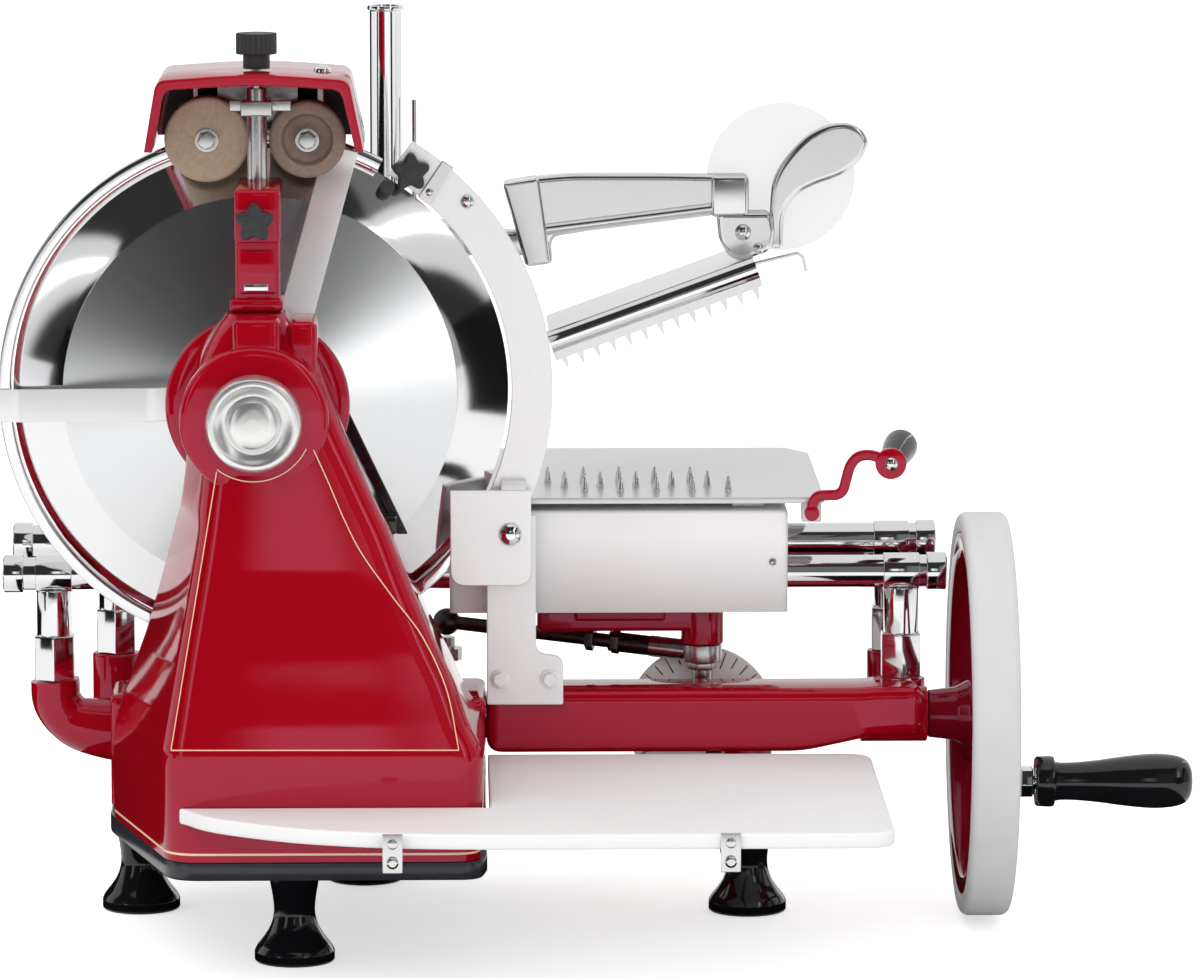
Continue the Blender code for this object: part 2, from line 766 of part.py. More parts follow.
# Each row: height of the section, then its front, face left, face right, back left, back right, back
COLUMN_SHARES = (
    (0.000, 1.000, 1.00, 0.970, 0.985, 0.985, 0.115),
    (0.122, 1.000, 1.02, 0.980, 1.000, 1.000, 0.115),
    (0.204, 1.000, 1.04, 0.985, 0.965, 1.000, 0.115),
    (0.238, 0.986, 1.00, 0.934, 0.920, 0.926, 0.126),
    (0.323, 0.966, 0.92, 0.868, 0.815, 0.838, 0.137),
    (0.383, 0.951, 0.86, 0.801, 0.741, 0.765, 0.149),
    (0.493, 0.926, 0.74, 0.691, 0.635, 0.647, 0.171),
    (0.610, 0.897, 0.62, 0.585, 0.529, 0.529, 0.229),
    (0.632, 0.892, 0.60, 0.560, 0.519, 0.508, 0.480),
    (0.701, 0.874, 0.54, 0.485, 0.487, 0.441, 0.480),
    (0.773, 0.857, 0.54, 0.404, 0.466, 0.382, 0.480),
    (0.852, 0.834, 0.64, 0.324, 0.444, 0.324, 0.480),
    (0.921, 0.800, 0.60, 0.265, 0.381, 0.265, 0.480),
    (0.978, 0.754, 0.44, 0.176, 0.254, 0.176, 0.491),
    (1.000, 0.720, 0.30, 0.118, 0.169, 0.118, 0.514),
)
COLUMN_CORNER = 0.0120
CAVITY_TOP_SHARE = 0.94


def column_ring(shares, inset=0):
    """One level section of the column, moved inwards by the inset."""
    height, front, face_left, face_right, left, right, back = shares
    corners = (
        (-BASE_FACE_LEFT * face_left + inset, -BASE_FRONT * front + inset),
        (BASE_RIGHT * face_right - inset, -BASE_FRONT * front + inset),
        (BASE_RIGHT * right - inset, -BASE_FRONT * back - inset),
        (-BASE_LEFT * left + inset, -BASE_FRONT * back - inset),
    )
    level = BASE_BOTTOM + (COLUMN_TOP - BASE_BOTTOM) * height
    corner = COLUMN_CORNER - inset / 2
    return [(x, y, level) for x, y in rounded(corners, (corner,) * 4)]


def column_front(height):
    """How far the column's front stands at a height."""
    share = (height - BASE_BOTTOM) / (COLUMN_TOP - BASE_BOTTOM)
    for low, high in zip(COLUMN_SHARES, COLUMN_SHARES[1:]):
        if low[0] <= share <= high[0]:
            part = (share - low[0]) / (high[0] - low[0])
            return BASE_FRONT * (low[1] + (high[1] - low[1]) * part)
    return BASE_FRONT


def make_base():
    """The column with the gear case behind it, cast in one, hollow and open at the bottom."""
    base = loft("base_casting", [column_ring(row) for row in COLUMN_SHARES], "enamel")
    case_left = -BASE_LEFT + GAP
    gear_case = block(
        "gear_case",
        (case_left, -COLUMN_BACK - CASE_ROUNDING * 2, BASE_BOTTOM),
        (BASE_RIGHT, GEAR_CASE_BACK, GEAR_CASE_HEIGHT),
        rounding=CASE_ROUNDING,
    )
    rear_case = block(
        "rear_case",
        (case_left, GEAR_CASE_BACK - WALL * 2, BASE_BOTTOM),
        (BASE_RIGHT, REAR_CASE_BACK, REAR_CASE_HEIGHT),
        rounding=CASE_ROUNDING,
    )
    hub = cylinder(
        "hub", HUB_RADIUS, (0, -HUB_FRONT, BLADE_AXIS_HEIGHT), HUB_FRONT - HUB_BACK, "Y", steps=ROUND_STEPS * 2
    )
    front_left_arm = tube(
        "front_left_arm",
        [
            (-BASE_LEFT + WALL, FRONT_ROD_Y, ARM_HEIGHT + ARM_RADIUS / 2),
            (POST_LEFT_FRONT_X + ARM_RADIUS, FRONT_ROD_Y, ARM_HEIGHT + ARM_RADIUS),
            (POST_LEFT_FRONT_X + ARM_RADIUS / 4, FRONT_ROD_Y, ARM_HEIGHT + ARM_RADIUS * 1.5),
            (POST_LEFT_FRONT_X, FRONT_ROD_Y, ARM_HEIGHT + ARM_RADIUS * 2),
            (POST_LEFT_FRONT_X, FRONT_ROD_Y, POST_FOOT_HEIGHT),
        ],
        ARM_RADIUS,
    )
    rear_left_boss = cylinder(
        "rear_left_boss",
        ARM_RADIUS,
        (POST_LEFT_REAR_X, REAR_ROD_Y, BASE_BOTTOM + PLINTH_HEIGHT),
        POST_FOOT_HEIGHT - BASE_BOTTOM - PLINTH_HEIGHT,
        "Z",
    )
    rear_beam = block(
        "rear_beam",
        (BASE_RIGHT - WALL, REAR_ROD_Y - REAR_BEAM_WIDTH / 2, REAR_BEAM_BOTTOM),
        (POST_RIGHT_X + REAR_BEAM_WIDTH / 2, REAR_ROD_Y + REAR_BEAM_WIDTH / 2, REAR_BEAM_TOP),
    )
    rear_riser = cylinder(
        "rear_riser",
        REAR_BEAM_WIDTH / 2 - GAP,
        (POST_RIGHT_X, REAR_ROD_Y, REAR_BEAM_BOTTOM + WALL),
        POST_FOOT_HEIGHT - REAR_BEAM_BOTTOM - WALL,
        "Z",
    )
    combine(base, [gear_case, rear_case, hub, front_left_arm, rear_left_boss, rear_beam, rear_riser])

    inner_rows = [row for row in COLUMN_SHARES if row[0] < CAVITY_TOP_SHARE]
    inner = [column_ring(row, WALL) for row in inner_rows]
    inner[0] = [(x, y, z - OVERRUN) for x, y, z in inner[0]]
    column_cavity = loft("column_cavity", inner)
    case_cavity = block(
        "case_cavity",
        (case_left + WALL, -COLUMN_BACK - WALL * 2, BASE_BOTTOM - OVERRUN),
        (BASE_RIGHT - WALL, GEAR_CASE_BACK - WALL, GEAR_CASE_HEIGHT - WALL),
    )
    rear_cavity = block(
        "rear_cavity",
        (case_left + WALL, GEAR_CASE_BACK - WALL * 2, BASE_BOTTOM - OVERRUN),
        (BASE_RIGHT - WALL, REAR_CASE_BACK - WALL, REAR_CASE_HEIGHT - WALL),
    )
    cut(base, [column_cavity, case_cavity, rear_cavity])

    crank_boss = cylinder(
        "crank_boss",
        CRANK_BOSS_RADIUS,
        (CRANK_X, CRANK_Y, REAR_CASE_HEIGHT - WALL),
        CRANK_ARM_BOTTOM - GAP - REAR_CASE_HEIGHT + WALL,
        "Z",
    )
    pins = [
        cylinder(
            f"{name}_pin",
            IDLER_PIN_RADIUS,
            (x, -column_front(z) + WALL / 2, z),
            column_front(z) - WALL / 2 - GEAR_PLANE + SPUR_WIDTH / 2,
            "Y",
            steps=COARSE_STEPS,
        )
        for name, (x, z) in (("lower", LOWER_IDLER), ("upper", UPPER_IDLER))
    ]
    cross_boss = cylinder(
        "cross_shaft_boss",
        INNER_SHAFT_RADIUS + STEP_WALL,
        (CROSS_SHAFT_X, -column_front(SHAFT_HEIGHT) + WALL / 2, SHAFT_HEIGHT),
        column_front(SHAFT_HEIGHT) - WALL / 2 - GEAR_PLANE - SPUR_WIDTH,
        "Y",
        steps=COARSE_STEPS,
    )
    combine(base, [crank_boss, cross_boss, *pins])
    cross_bore = cylinder(
        "cross_shaft_bore",
        INNER_SHAFT_RADIUS + GAP,
        (CROSS_SHAFT_X, -GEAR_PLANE - SPUR_WIDTH - CROSS_SHAFT_SEAT - GAP, SHAFT_HEIGHT),
        CROSS_SHAFT_SEAT + OVERRUN,
        "Y",
        steps=COARSE_STEPS,
    )
    hub_bore = cylinder(
        "hub_bore",
        BLADE_SHAFT_RADIUS + GAP,
        (0, -HUB_FRONT - OVERRUN, BLADE_AXIS_HEIGHT),
        HUB_FRONT - HUB_BACK + OVERRUN * 2,
        "Y",
    )
    shaft_bore = cylinder(
        "shaft_bore",
        SHAFT_RADIUS + GAP,
        (BASE_RIGHT - WALL - OVERRUN, SHAFT_Y, SHAFT_HEIGHT),
        WALL + OVERRUN * 2,
        "X",
    )
    crank_bore = cylinder(
        "crank_bore",
        INNER_SHAFT_RADIUS + GAP,
        (CRANK_X, CRANK_Y, REAR_CASE_HEIGHT - WALL - OVERRUN),
        CRANK_ARM_BOTTOM - REAR_CASE_HEIGHT + WALL + OVERRUN * 2,
        "Z",
    )
    cut(base, [hub_bore, shaft_bore, crank_bore, cross_bore])


def foot_places():
    return {
        "foot_front": (FRONT_FOOT_X, -FRONT_FOOT_REACH),
        "foot_left": (LEFT_FOOT_X, LEFT_FOOT_Y),
        "foot_right": (RIGHT_FOOT_X, RIGHT_FOOT_Y),
        "foot_rear": (REAR_FOOT_X, REAR_FOOT_Y),
    }


def make_plinth_and_feet():
    bottom = COLUMN_SHARES[0]
    front = [(x, y) for x, y, _ in column_ring(bottom)]
    outline = front[: len(front) // 2]
    for y in (-COLUMN_BACK, REAR_CASE_BACK):
        outline.append((BASE_RIGHT, y))
    for y in (REAR_CASE_BACK, -COLUMN_BACK):
        outline.append((-BASE_LEFT, y))
    holes = [
        ring_outline(place, FOOT_STUD_RADIUS + GAP, COARSE_STEPS)
        for name, place in foot_places().items()
        if name != "foot_right"
    ]
    plinth = plate(
        "base_plinth",
        outline,
        PLINTH_HEIGHT,
        "Z",
        PLINTH_BOTTOM + PLINTH_HEIGHT / 2,
        "black",
        holes,
    )
    shaft_bottom = CRANK_GEAR_HEIGHT - SPUR_WIDTH
    for name, place in (("counter", (COUNTERSHAFT_X, SHAFT_Y)), ("crank", (CRANK_X, CRANK_Y))):
        step = cylinder(
            f"{name}_step",
            INNER_SHAFT_RADIUS + STEP_WALL,
            (*place, PLINTH_BOTTOM + PLINTH_HEIGHT / 2),
            CRANK_GEAR_HEIGHT - SPUR_WIDTH / 2 - GAP * 2 - PLINTH_BOTTOM - PLINTH_HEIGHT / 2,
            "Z",
            steps=COARSE_STEPS,
        )
        combine(plinth, [step])
        socket = cylinder(
            f"{name}_socket",
            INNER_SHAFT_RADIUS + GAP,
            (*place, shaft_bottom - GAP),
            SPUR_WIDTH,
            "Z",
            steps=COARSE_STEPS,
        )
        cut(plinth, [socket])
    stud = PLINTH_HEIGHT - GAP
    for name, (x, y) in foot_places().items():
        profile = [
            (0, FOOT_HEIGHT + stud),
            (FOOT_STUD_RADIUS, FOOT_HEIGHT + stud),
            (FOOT_STUD_RADIUS, FOOT_HEIGHT),
            (FOOT_PAD_RADIUS, FOOT_HEIGHT),
            (FOOT_PAD_RADIUS, FOOT_HEIGHT - FOOT_TOE),
            (FOOT_NECK_RADIUS, FOOT_HEIGHT - FOOT_TOE * 1.5),
            (FOOT_NECK_RADIUS, FOOT_HEIGHT / 2),
            (FOOT_NECK_RADIUS * 1.3, FOOT_HEIGHT / 3),
            (FOOT_BASE_RADIUS * 0.92, FOOT_TOE * 1.2),
            (FOOT_BASE_RADIUS, FOOT_TOE),
            (FOOT_BASE_RADIUS, 0),
            (0, 0),
        ]
        turned(name, profile, (x, y, 0), "Z", "black", steps=COARSE_STEPS + COARSE_STEPS // 4)


def bolt_hexagon(name, width, start, length, axis, finish=None):
    return cylinder(name, width / math.sqrt(3), start, length, axis, finish, steps=6)


def make_posts():
    """Each post: hexagon foot, round bar and a ring that clamps its slide rod."""
    places = (
        ("post_front_left", POST_LEFT_FRONT_X, FRONT_ROD_Y, FRONT_ROD_HEIGHT, FRONT_ROD_RADIUS),
        ("post_front_right", POST_RIGHT_X, FRONT_ROD_Y, FRONT_ROD_HEIGHT, FRONT_ROD_RADIUS),
        ("post_rear_left", POST_LEFT_REAR_X, REAR_ROD_Y, REAR_ROD_HEIGHT, REAR_ROD_RADIUS),
        ("post_rear_right", POST_RIGHT_X, REAR_ROD_Y, REAR_ROD_HEIGHT, REAR_ROD_RADIUS),
    )
    for name, x, y, height, radius in places:
        bottom = POST_FOOT_HEIGHT + GAP
        post = cylinder(name, POST_RADIUS, (x, y, bottom), height - bottom, "Z", "chrome")
        hexagon = bolt_hexagon(f"{name}_hexagon", POST_HEX_WIDTH, (x, y, bottom), POST_HEX_TOP - bottom, "Z")
        start = (x - POST_HEAD_LENGTH / 2, y, height)
        head = cylinder(f"{name}_head", radius + GAP + POST_HEAD_WALL, start, POST_HEAD_LENGTH, "X")
        bore = cylinder(
            f"{name}_bore",
            radius + GAP,
            (x - POST_HEAD_LENGTH / 2 - OVERRUN, y, height),
            POST_HEAD_LENGTH + OVERRUN * 2,
            "X",
        )
        combine(post, [hexagon, head])
        cut(post, [bore])


def make_rods():
    """The two slide rods, with a collar at each end."""
    for name, y, height, radius in (
        ("slide_rod_front", FRONT_ROD_Y, FRONT_ROD_HEIGHT, FRONT_ROD_RADIUS),
        ("slide_rod_rear", REAR_ROD_Y, REAR_ROD_HEIGHT, REAR_ROD_RADIUS),
    ):
        length = ROD_RIGHT - ROD_LEFT
        collar = radius + ROD_COLLAR_WALL
        profile = [
            (0, length),
            (collar, length),
            (collar, length - ROD_COLLAR_LENGTH),
            (radius, length - ROD_COLLAR_LENGTH),
            (radius, ROD_COLLAR_LENGTH),
            (collar, ROD_COLLAR_LENGTH),
            (collar, 0),
            (0, 0),
        ]
        turned(name, profile, (ROD_LEFT, y, height), "X", "chrome")


def make_beams():
    left = BASE_RIGHT + GAP
    rise = BEAM_TOP - BEAM_BOTTOM
    outline = [
        (left, BEAM_BOTTOM),
        (BEAM_RIGHT - BEAM_RISER_WIDTH * 4, BEAM_BOTTOM),
        (BEAM_RIGHT - BEAM_RISER_WIDTH * 2.2, BEAM_BOTTOM + rise * 0.08),
        (BEAM_RIGHT - BEAM_RISER_WIDTH, BEAM_BOTTOM + rise * 0.25),
        (BEAM_RIGHT - BEAM_RISER_WIDTH * 0.3, BEAM_BOTTOM + rise * 0.5),
        (BEAM_RIGHT, BEAM_BOTTOM + rise * 0.8),
        (BEAM_RIGHT, POST_FOOT_HEIGHT),
        (BEAM_RIGHT - BEAM_RISER_WIDTH, POST_FOOT_HEIGHT),
        (BEAM_RIGHT - BEAM_RISER_WIDTH * 1.2, BEAM_TOP),
        (left, BEAM_TOP),
    ]
    depth = BEAM_FRONT + BEAM_BACK
    beam = plate("front_beam", outline, depth, "Y", (BEAM_BACK - BEAM_FRONT) / 2, "enamel")
    riser = cylinder(
        "front_riser",
        ARM_RADIUS,
        (POST_RIGHT_X, FRONT_ROD_Y, BEAM_BOTTOM + rise * 0.6),
        POST_FOOT_HEIGHT - BEAM_BOTTOM - rise * 0.6,
        "Z",
    )
    boss = cylinder(
        "wheel_boss",
        WHEEL_BOSS_RADIUS,
        (BEAM_RIGHT - BEAM_RISER_WIDTH, SHAFT_Y, SHAFT_HEIGHT),
        WHEEL_HUB_LEFT - GAP - BEAM_RIGHT + BEAM_RISER_WIDTH,
        "X",
    )
    leg = cylinder(
        "foot_leg",
        FOOT_PAD_RADIUS,
        (RIGHT_FOOT_X, RIGHT_FOOT_Y, FOOT_HEIGHT + GAP),
        BEAM_BOTTOM + rise / 2 - FOOT_HEIGHT,
        "Z",
    )
    stud = cylinder(
        "dial_stud",
        DIAL_STUD_RADIUS,
        (DIAL_X, BEAM_BACK - WALL, DIAL_HEIGHT),
        DIAL_FRONT + DIAL_THICKNESS + DIAL_SPACER - BEAM_BACK + WALL,
        "Y",
        steps=COARSE_STEPS,
    )
    combine(beam, [riser, boss, leg, stud])
    bore = cylinder(
        "beam_bore",
        SHAFT_RADIUS + GAP,
        (left - OVERRUN, SHAFT_Y, SHAFT_HEIGHT),
        WHEEL_HUB_LEFT - left + OVERRUN * 2,
        "X",
    )
    foot_hole = cylinder(
        "foot_hole",
        FOOT_STUD_RADIUS + GAP,
        (RIGHT_FOOT_X, RIGHT_FOOT_Y, FOOT_HEIGHT - OVERRUN),
        PLINTH_HEIGHT + OVERRUN * 2,
        "Z",
        steps=COARSE_STEPS,
    )
    cut(beam, [bore, foot_hole])


def gear_points(teeth, module, phase):
    """The toothed outline about the origin: straight flanks, thinner than half the pitch."""
    pitch_radius = module * teeth / 2
    root = pitch_radius - module * DEDENDUM_SHARE
    tip = pitch_radius + module * ADDENDUM_SHARE
    pitch = math.tau / teeth
    points = []
    for k in range(teeth):
        middle = phase + pitch * k
        for radius, share in ((root, -ROOT_SHARE), (tip, -TIP_SHARE), (tip, TIP_SHARE), (root, ROOT_SHARE)):
            angle = middle + pitch * share
            points.append((radius * math.cos(angle), radius * math.sin(angle)))
    return points


def next_phase(teeth, phase, next_teeth, direction):
    """The phase of a gear that meshes with another, in the direction from the first to the second."""
    part = (direction - phase) * teeth / math.tau
    return direction + math.pi - (0.5 - part) * math.tau / next_teeth


def spur(name, teeth, module, centre, phase, plane, facing, finish=None, bore=0):
    """A spur gear in the plane square to Y or Z."""
    u, v = centre
    outline = [(u + a, v + b) for a, b in gear_points(teeth, module, phase)]
    holes = [ring_outline(centre, bore, COARSE_STEPS)] if bore else []
    at = (u, plane, v) if facing == "Y" else (u, v, plane)
    return plate(name, outline, SPUR_WIDTH, facing, plane, finish, holes, at)


def bevel(name, apex, axis, toward, tooth_first):
    """A bevel gear with its cone's apex given: it meshes in the direction of its mate's axis."""
    axis = Vector(axis)
    across = Vector(toward)
    up = axis.cross(across)
    module = 2 * BEVEL_RADIUS / BEVEL_TEETH
    pitch = math.tau / BEVEL_TEETH
    phase = 0 if tooth_first else pitch / 2
    slope = math.sqrt(0.5)

    def ring(scale):
        points = []
        for k in range(BEVEL_TEETH):
            for height, share in (
                (-DEDENDUM_SHARE, -ROOT_SHARE),
                (ADDENDUM_SHARE, -TIP_SHARE),
                (ADDENDUM_SHARE, TIP_SHARE),
                (-DEDENDUM_SHARE, ROOT_SHARE),
            ):
                angle = phase + pitch * (k + share)
                radius = (BEVEL_RADIUS + module * height * slope) * scale
                along = (BEVEL_RADIUS - module * height * slope) * scale
                spoke = across * math.cos(angle) + up * math.sin(angle)
                points.append(Vector(apex) + axis * along + spoke * radius)
        return points

    return loft(name, [ring(1 - BEVEL_FACE_SHARE), ring(1)], fans=True)


def make_drive_train():
    """Shafts and gears from the flywheel to the blade and to the carriage's crank."""
    blade_apex = (CROSS_SHAFT_X, SHAFT_Y, SHAFT_HEIGHT)
    crank_apex = (COUNTERSHAFT_X, SHAFT_Y, SHAFT_HEIGHT)
    small_end = BEVEL_RADIUS * (1 - BEVEL_FACE_SHARE)
    start = CROSS_SHAFT_X + small_end + GAP
    shaft = cylinder(
        "drive_shaft",
        SHAFT_RADIUS,
        (start, SHAFT_Y, SHAFT_HEIGHT),
        FLYWHEEL_LEFT + FLYWHEEL_WIDTH - start,
        "X",
        "steel",
    )
    combine(
        shaft,
        [
            bevel("blade_drive_bevel", blade_apex, (1, 0, 0), (0, -1, 0), True),
            bevel("crank_drive_bevel", crank_apex, (1, 0, 0), (0, 0, -1), True),
        ],
    )

    cross = cylinder(
        "cross_shaft",
        INNER_SHAFT_RADIUS,
        (CROSS_SHAFT_X, SHAFT_Y - small_end - GAP, SHAFT_HEIGHT),
        GEAR_PLANE + SPUR_WIDTH + CROSS_SHAFT_SEAT + SHAFT_Y - small_end - GAP,
        "-Y",
        "steel",
    )
    first = (CROSS_SHAFT_X, SHAFT_HEIGHT)
    phase = 0
    tower_gear = spur("tower_gear", TOWER_GEAR_TEETH, SPUR_MODULE, first, phase, -GEAR_PLANE, "Y")
    combine(cross, [bevel("cross_bevel", blade_apex, (0, -1, 0), (1, 0, 0), False), tower_gear])

    chain = (
        ("idler_gear_lower", LOWER_IDLER_TEETH, LOWER_IDLER),
        ("idler_gear_upper", UPPER_IDLER_TEETH, UPPER_IDLER),
        ("blade_pinion", BLADE_PINION_TEETH, (0, BLADE_AXIS_HEIGHT)),
    )
    teeth, place = TOWER_GEAR_TEETH, first
    for name, next_teeth, next_place in chain:
        direction = math.atan2(next_place[1] - place[1], next_place[0] - place[0])
        phase = next_phase(teeth, phase, next_teeth, direction)
        idle = name != "blade_pinion"
        gear = spur(
            name,
            next_teeth,
            SPUR_MODULE,
            next_place,
            phase,
            -GEAR_PLANE,
            "Y",
            "steel" if idle else None,
            IDLER_PIN_RADIUS + GAP if idle else 0,
        )
        teeth, place = next_teeth, next_place
    blade_shaft = cylinder(
        "blade_shaft",
        BLADE_SHAFT_RADIUS,
        (0, -HUB_FRONT + WALL, BLADE_AXIS_HEIGHT),
        HUB_FRONT - WALL - BLADE_DISH - GAP,
        "Y",
        "steel",
    )
    carrier = cylinder(
        "blade_carrier",
        BLADE_CARRIER_RADIUS,
        (0, -FLANGE_BACK + CARRIER_STEP, BLADE_AXIS_HEIGHT),
        FLANGE_BACK - CARRIER_STEP - BLADE_DISH - GAP,
        "Y",
    )
    combine(blade_shaft, [gear, carrier])

    reach = math.dist((COUNTERSHAFT_X, SHAFT_Y), (CRANK_X, CRANK_Y))
    module = reach / CRANK_GEAR_TEETH
    shaft_start = CRANK_GEAR_HEIGHT - SPUR_WIDTH
    counter = cylinder(
        "countershaft",
        INNER_SHAFT_RADIUS,
        (COUNTERSHAFT_X, SHAFT_Y, shaft_start),
        SHAFT_HEIGHT - small_end - GAP - shaft_start,
        "Z",
        "steel",
    )
    direction = math.atan2(CRANK_Y - SHAFT_Y, CRANK_X - COUNTERSHAFT_X)
    pinion = spur(
        "crank_pinion", CRANK_GEAR_TEETH, module, (COUNTERSHAFT_X, SHAFT_Y), 0, CRANK_GEAR_HEIGHT, "Z"
    )
    combine(counter, [bevel("counter_bevel", crank_apex, (0, 0, -1), (1, 0, 0), False), pinion])
    phase = next_phase(CRANK_GEAR_TEETH, 0, CRANK_GEAR_TEETH, direction)
    crank_shaft = cylinder(
        "crank_shaft",
        INNER_SHAFT_RADIUS,
        (CRANK_X, CRANK_Y, shaft_start),
        CRANK_ARM_BOTTOM + CRANK_ARM_THICKNESS - shaft_start,
        "Z",
        "steel",
    )
    crank_gear = spur(
        "crank_gear", CRANK_GEAR_TEETH, module, (CRANK_X, CRANK_Y), phase, CRANK_GEAR_HEIGHT, "Z"
    )
    combine(crank_shaft, [crank_gear, *crank_arm()])


def capsule(start, end, radius, steps=8):
    """The outline round two points at one distance."""
    turn = math.degrees(math.atan2(end[1] - start[1], end[0] - start[0]))
    return arc(start, radius, turn + 90, turn + 270, steps) + arc(end, radius, turn - 90, turn + 90, steps)


def crank_pin_place():
    return (CRANK_X + CRANK_RADIUS, CRANK_Y)


def crank_arm():
    """The arm on top of the crank's shaft, and its upright pin."""
    pin = crank_pin_place()
    arm = plate(
        "crank_arm",
        capsule((CRANK_X, CRANK_Y), pin, CRANK_ARM_RADIUS),
        CRANK_ARM_THICKNESS - GAP * 2,
        "Z",
        CRANK_ARM_BOTTOM + CRANK_ARM_THICKNESS / 2,
    )
    peg = cylinder(
        "crank_peg",
        CRANK_PIN_RADIUS,
        (*pin, CRANK_ARM_BOTTOM + GAP * 2),
        ROD_END_HEIGHT - ROD_BALL_RADIUS - CRANK_CLEARANCE - CRANK_ARM_BOTTOM,
        "Z",
        steps=COARSE_STEPS,
    )
    return arm, peg


def make_connecting_rod():
    """The rod from the carriage's link pin to above the crank pin, where the linkage is open."""
    eye_middle = LINK_BOSS_BOTTOM - GAP - ROD_EYE_HEIGHT / 2
    pivot = Vector((LINK_X, LINK_Y, eye_middle))
    far = Vector((*crank_pin_place(), ROD_END_HEIGHT))
    bore = LINK_PIN_RADIUS + GAP
    half = ROD_EYE_HEIGHT / 2
    profile = [
        (bore, half),
        (ROD_EYE_RADIUS - GAP * 4, half),
        (ROD_EYE_RADIUS, half / 2),
        (ROD_EYE_RADIUS, -half / 2),
        (ROD_EYE_RADIUS - GAP * 4, -half),
        (bore, -half),
    ]
    rod = turned("connecting_rod", profile, pivot, "Z", "steel", closed=True)
    way = (far - pivot).normalized()
    length = (far - pivot).length
    turn = way.to_track_quat("Z", "Y").to_euler()

    def along(name, radius, begin, end, steps=COARSE_STEPS):
        made = cylinder(name, radius, pivot + way * begin, end - begin, "Z", steps=steps)
        made.rotation_euler = turn
        return made

    neck = ROD_EYE_RADIUS - GAP * 5
    socket = along("rod_socket", ROD_RADIUS + GAP, neck, length * SOCKET_END_SHARE)
    nuts = [
        along(f"jam_nut_{i}", JAM_NUT_RADIUS, length * share, length * share + JAM_NUT_WIDTH, 6)
        for i, share in enumerate(JAM_NUT_SHARES)
    ]
    bar = along("rod_bar", ROD_RADIUS, length * SOCKET_END_SHARE / 2, length)
    ball = cylinder(
        "rod_ball",
        ROD_BALL_RADIUS,
        far - Vector((0, 0, ROD_BALL_RADIUS)),
        ROD_BALL_RADIUS * 2,
        "Z",
        steps=COARSE_STEPS,
    )
    combine(rod, [socket, bar, *nuts, ball])


def wheel_point(radius, degrees):
    """A place on the flywheel, as (y, z)."""
    angle = math.radians(degrees)
    return (SHAFT_Y + radius * math.cos(angle), SHAFT_HEIGHT + radius * math.sin(angle))


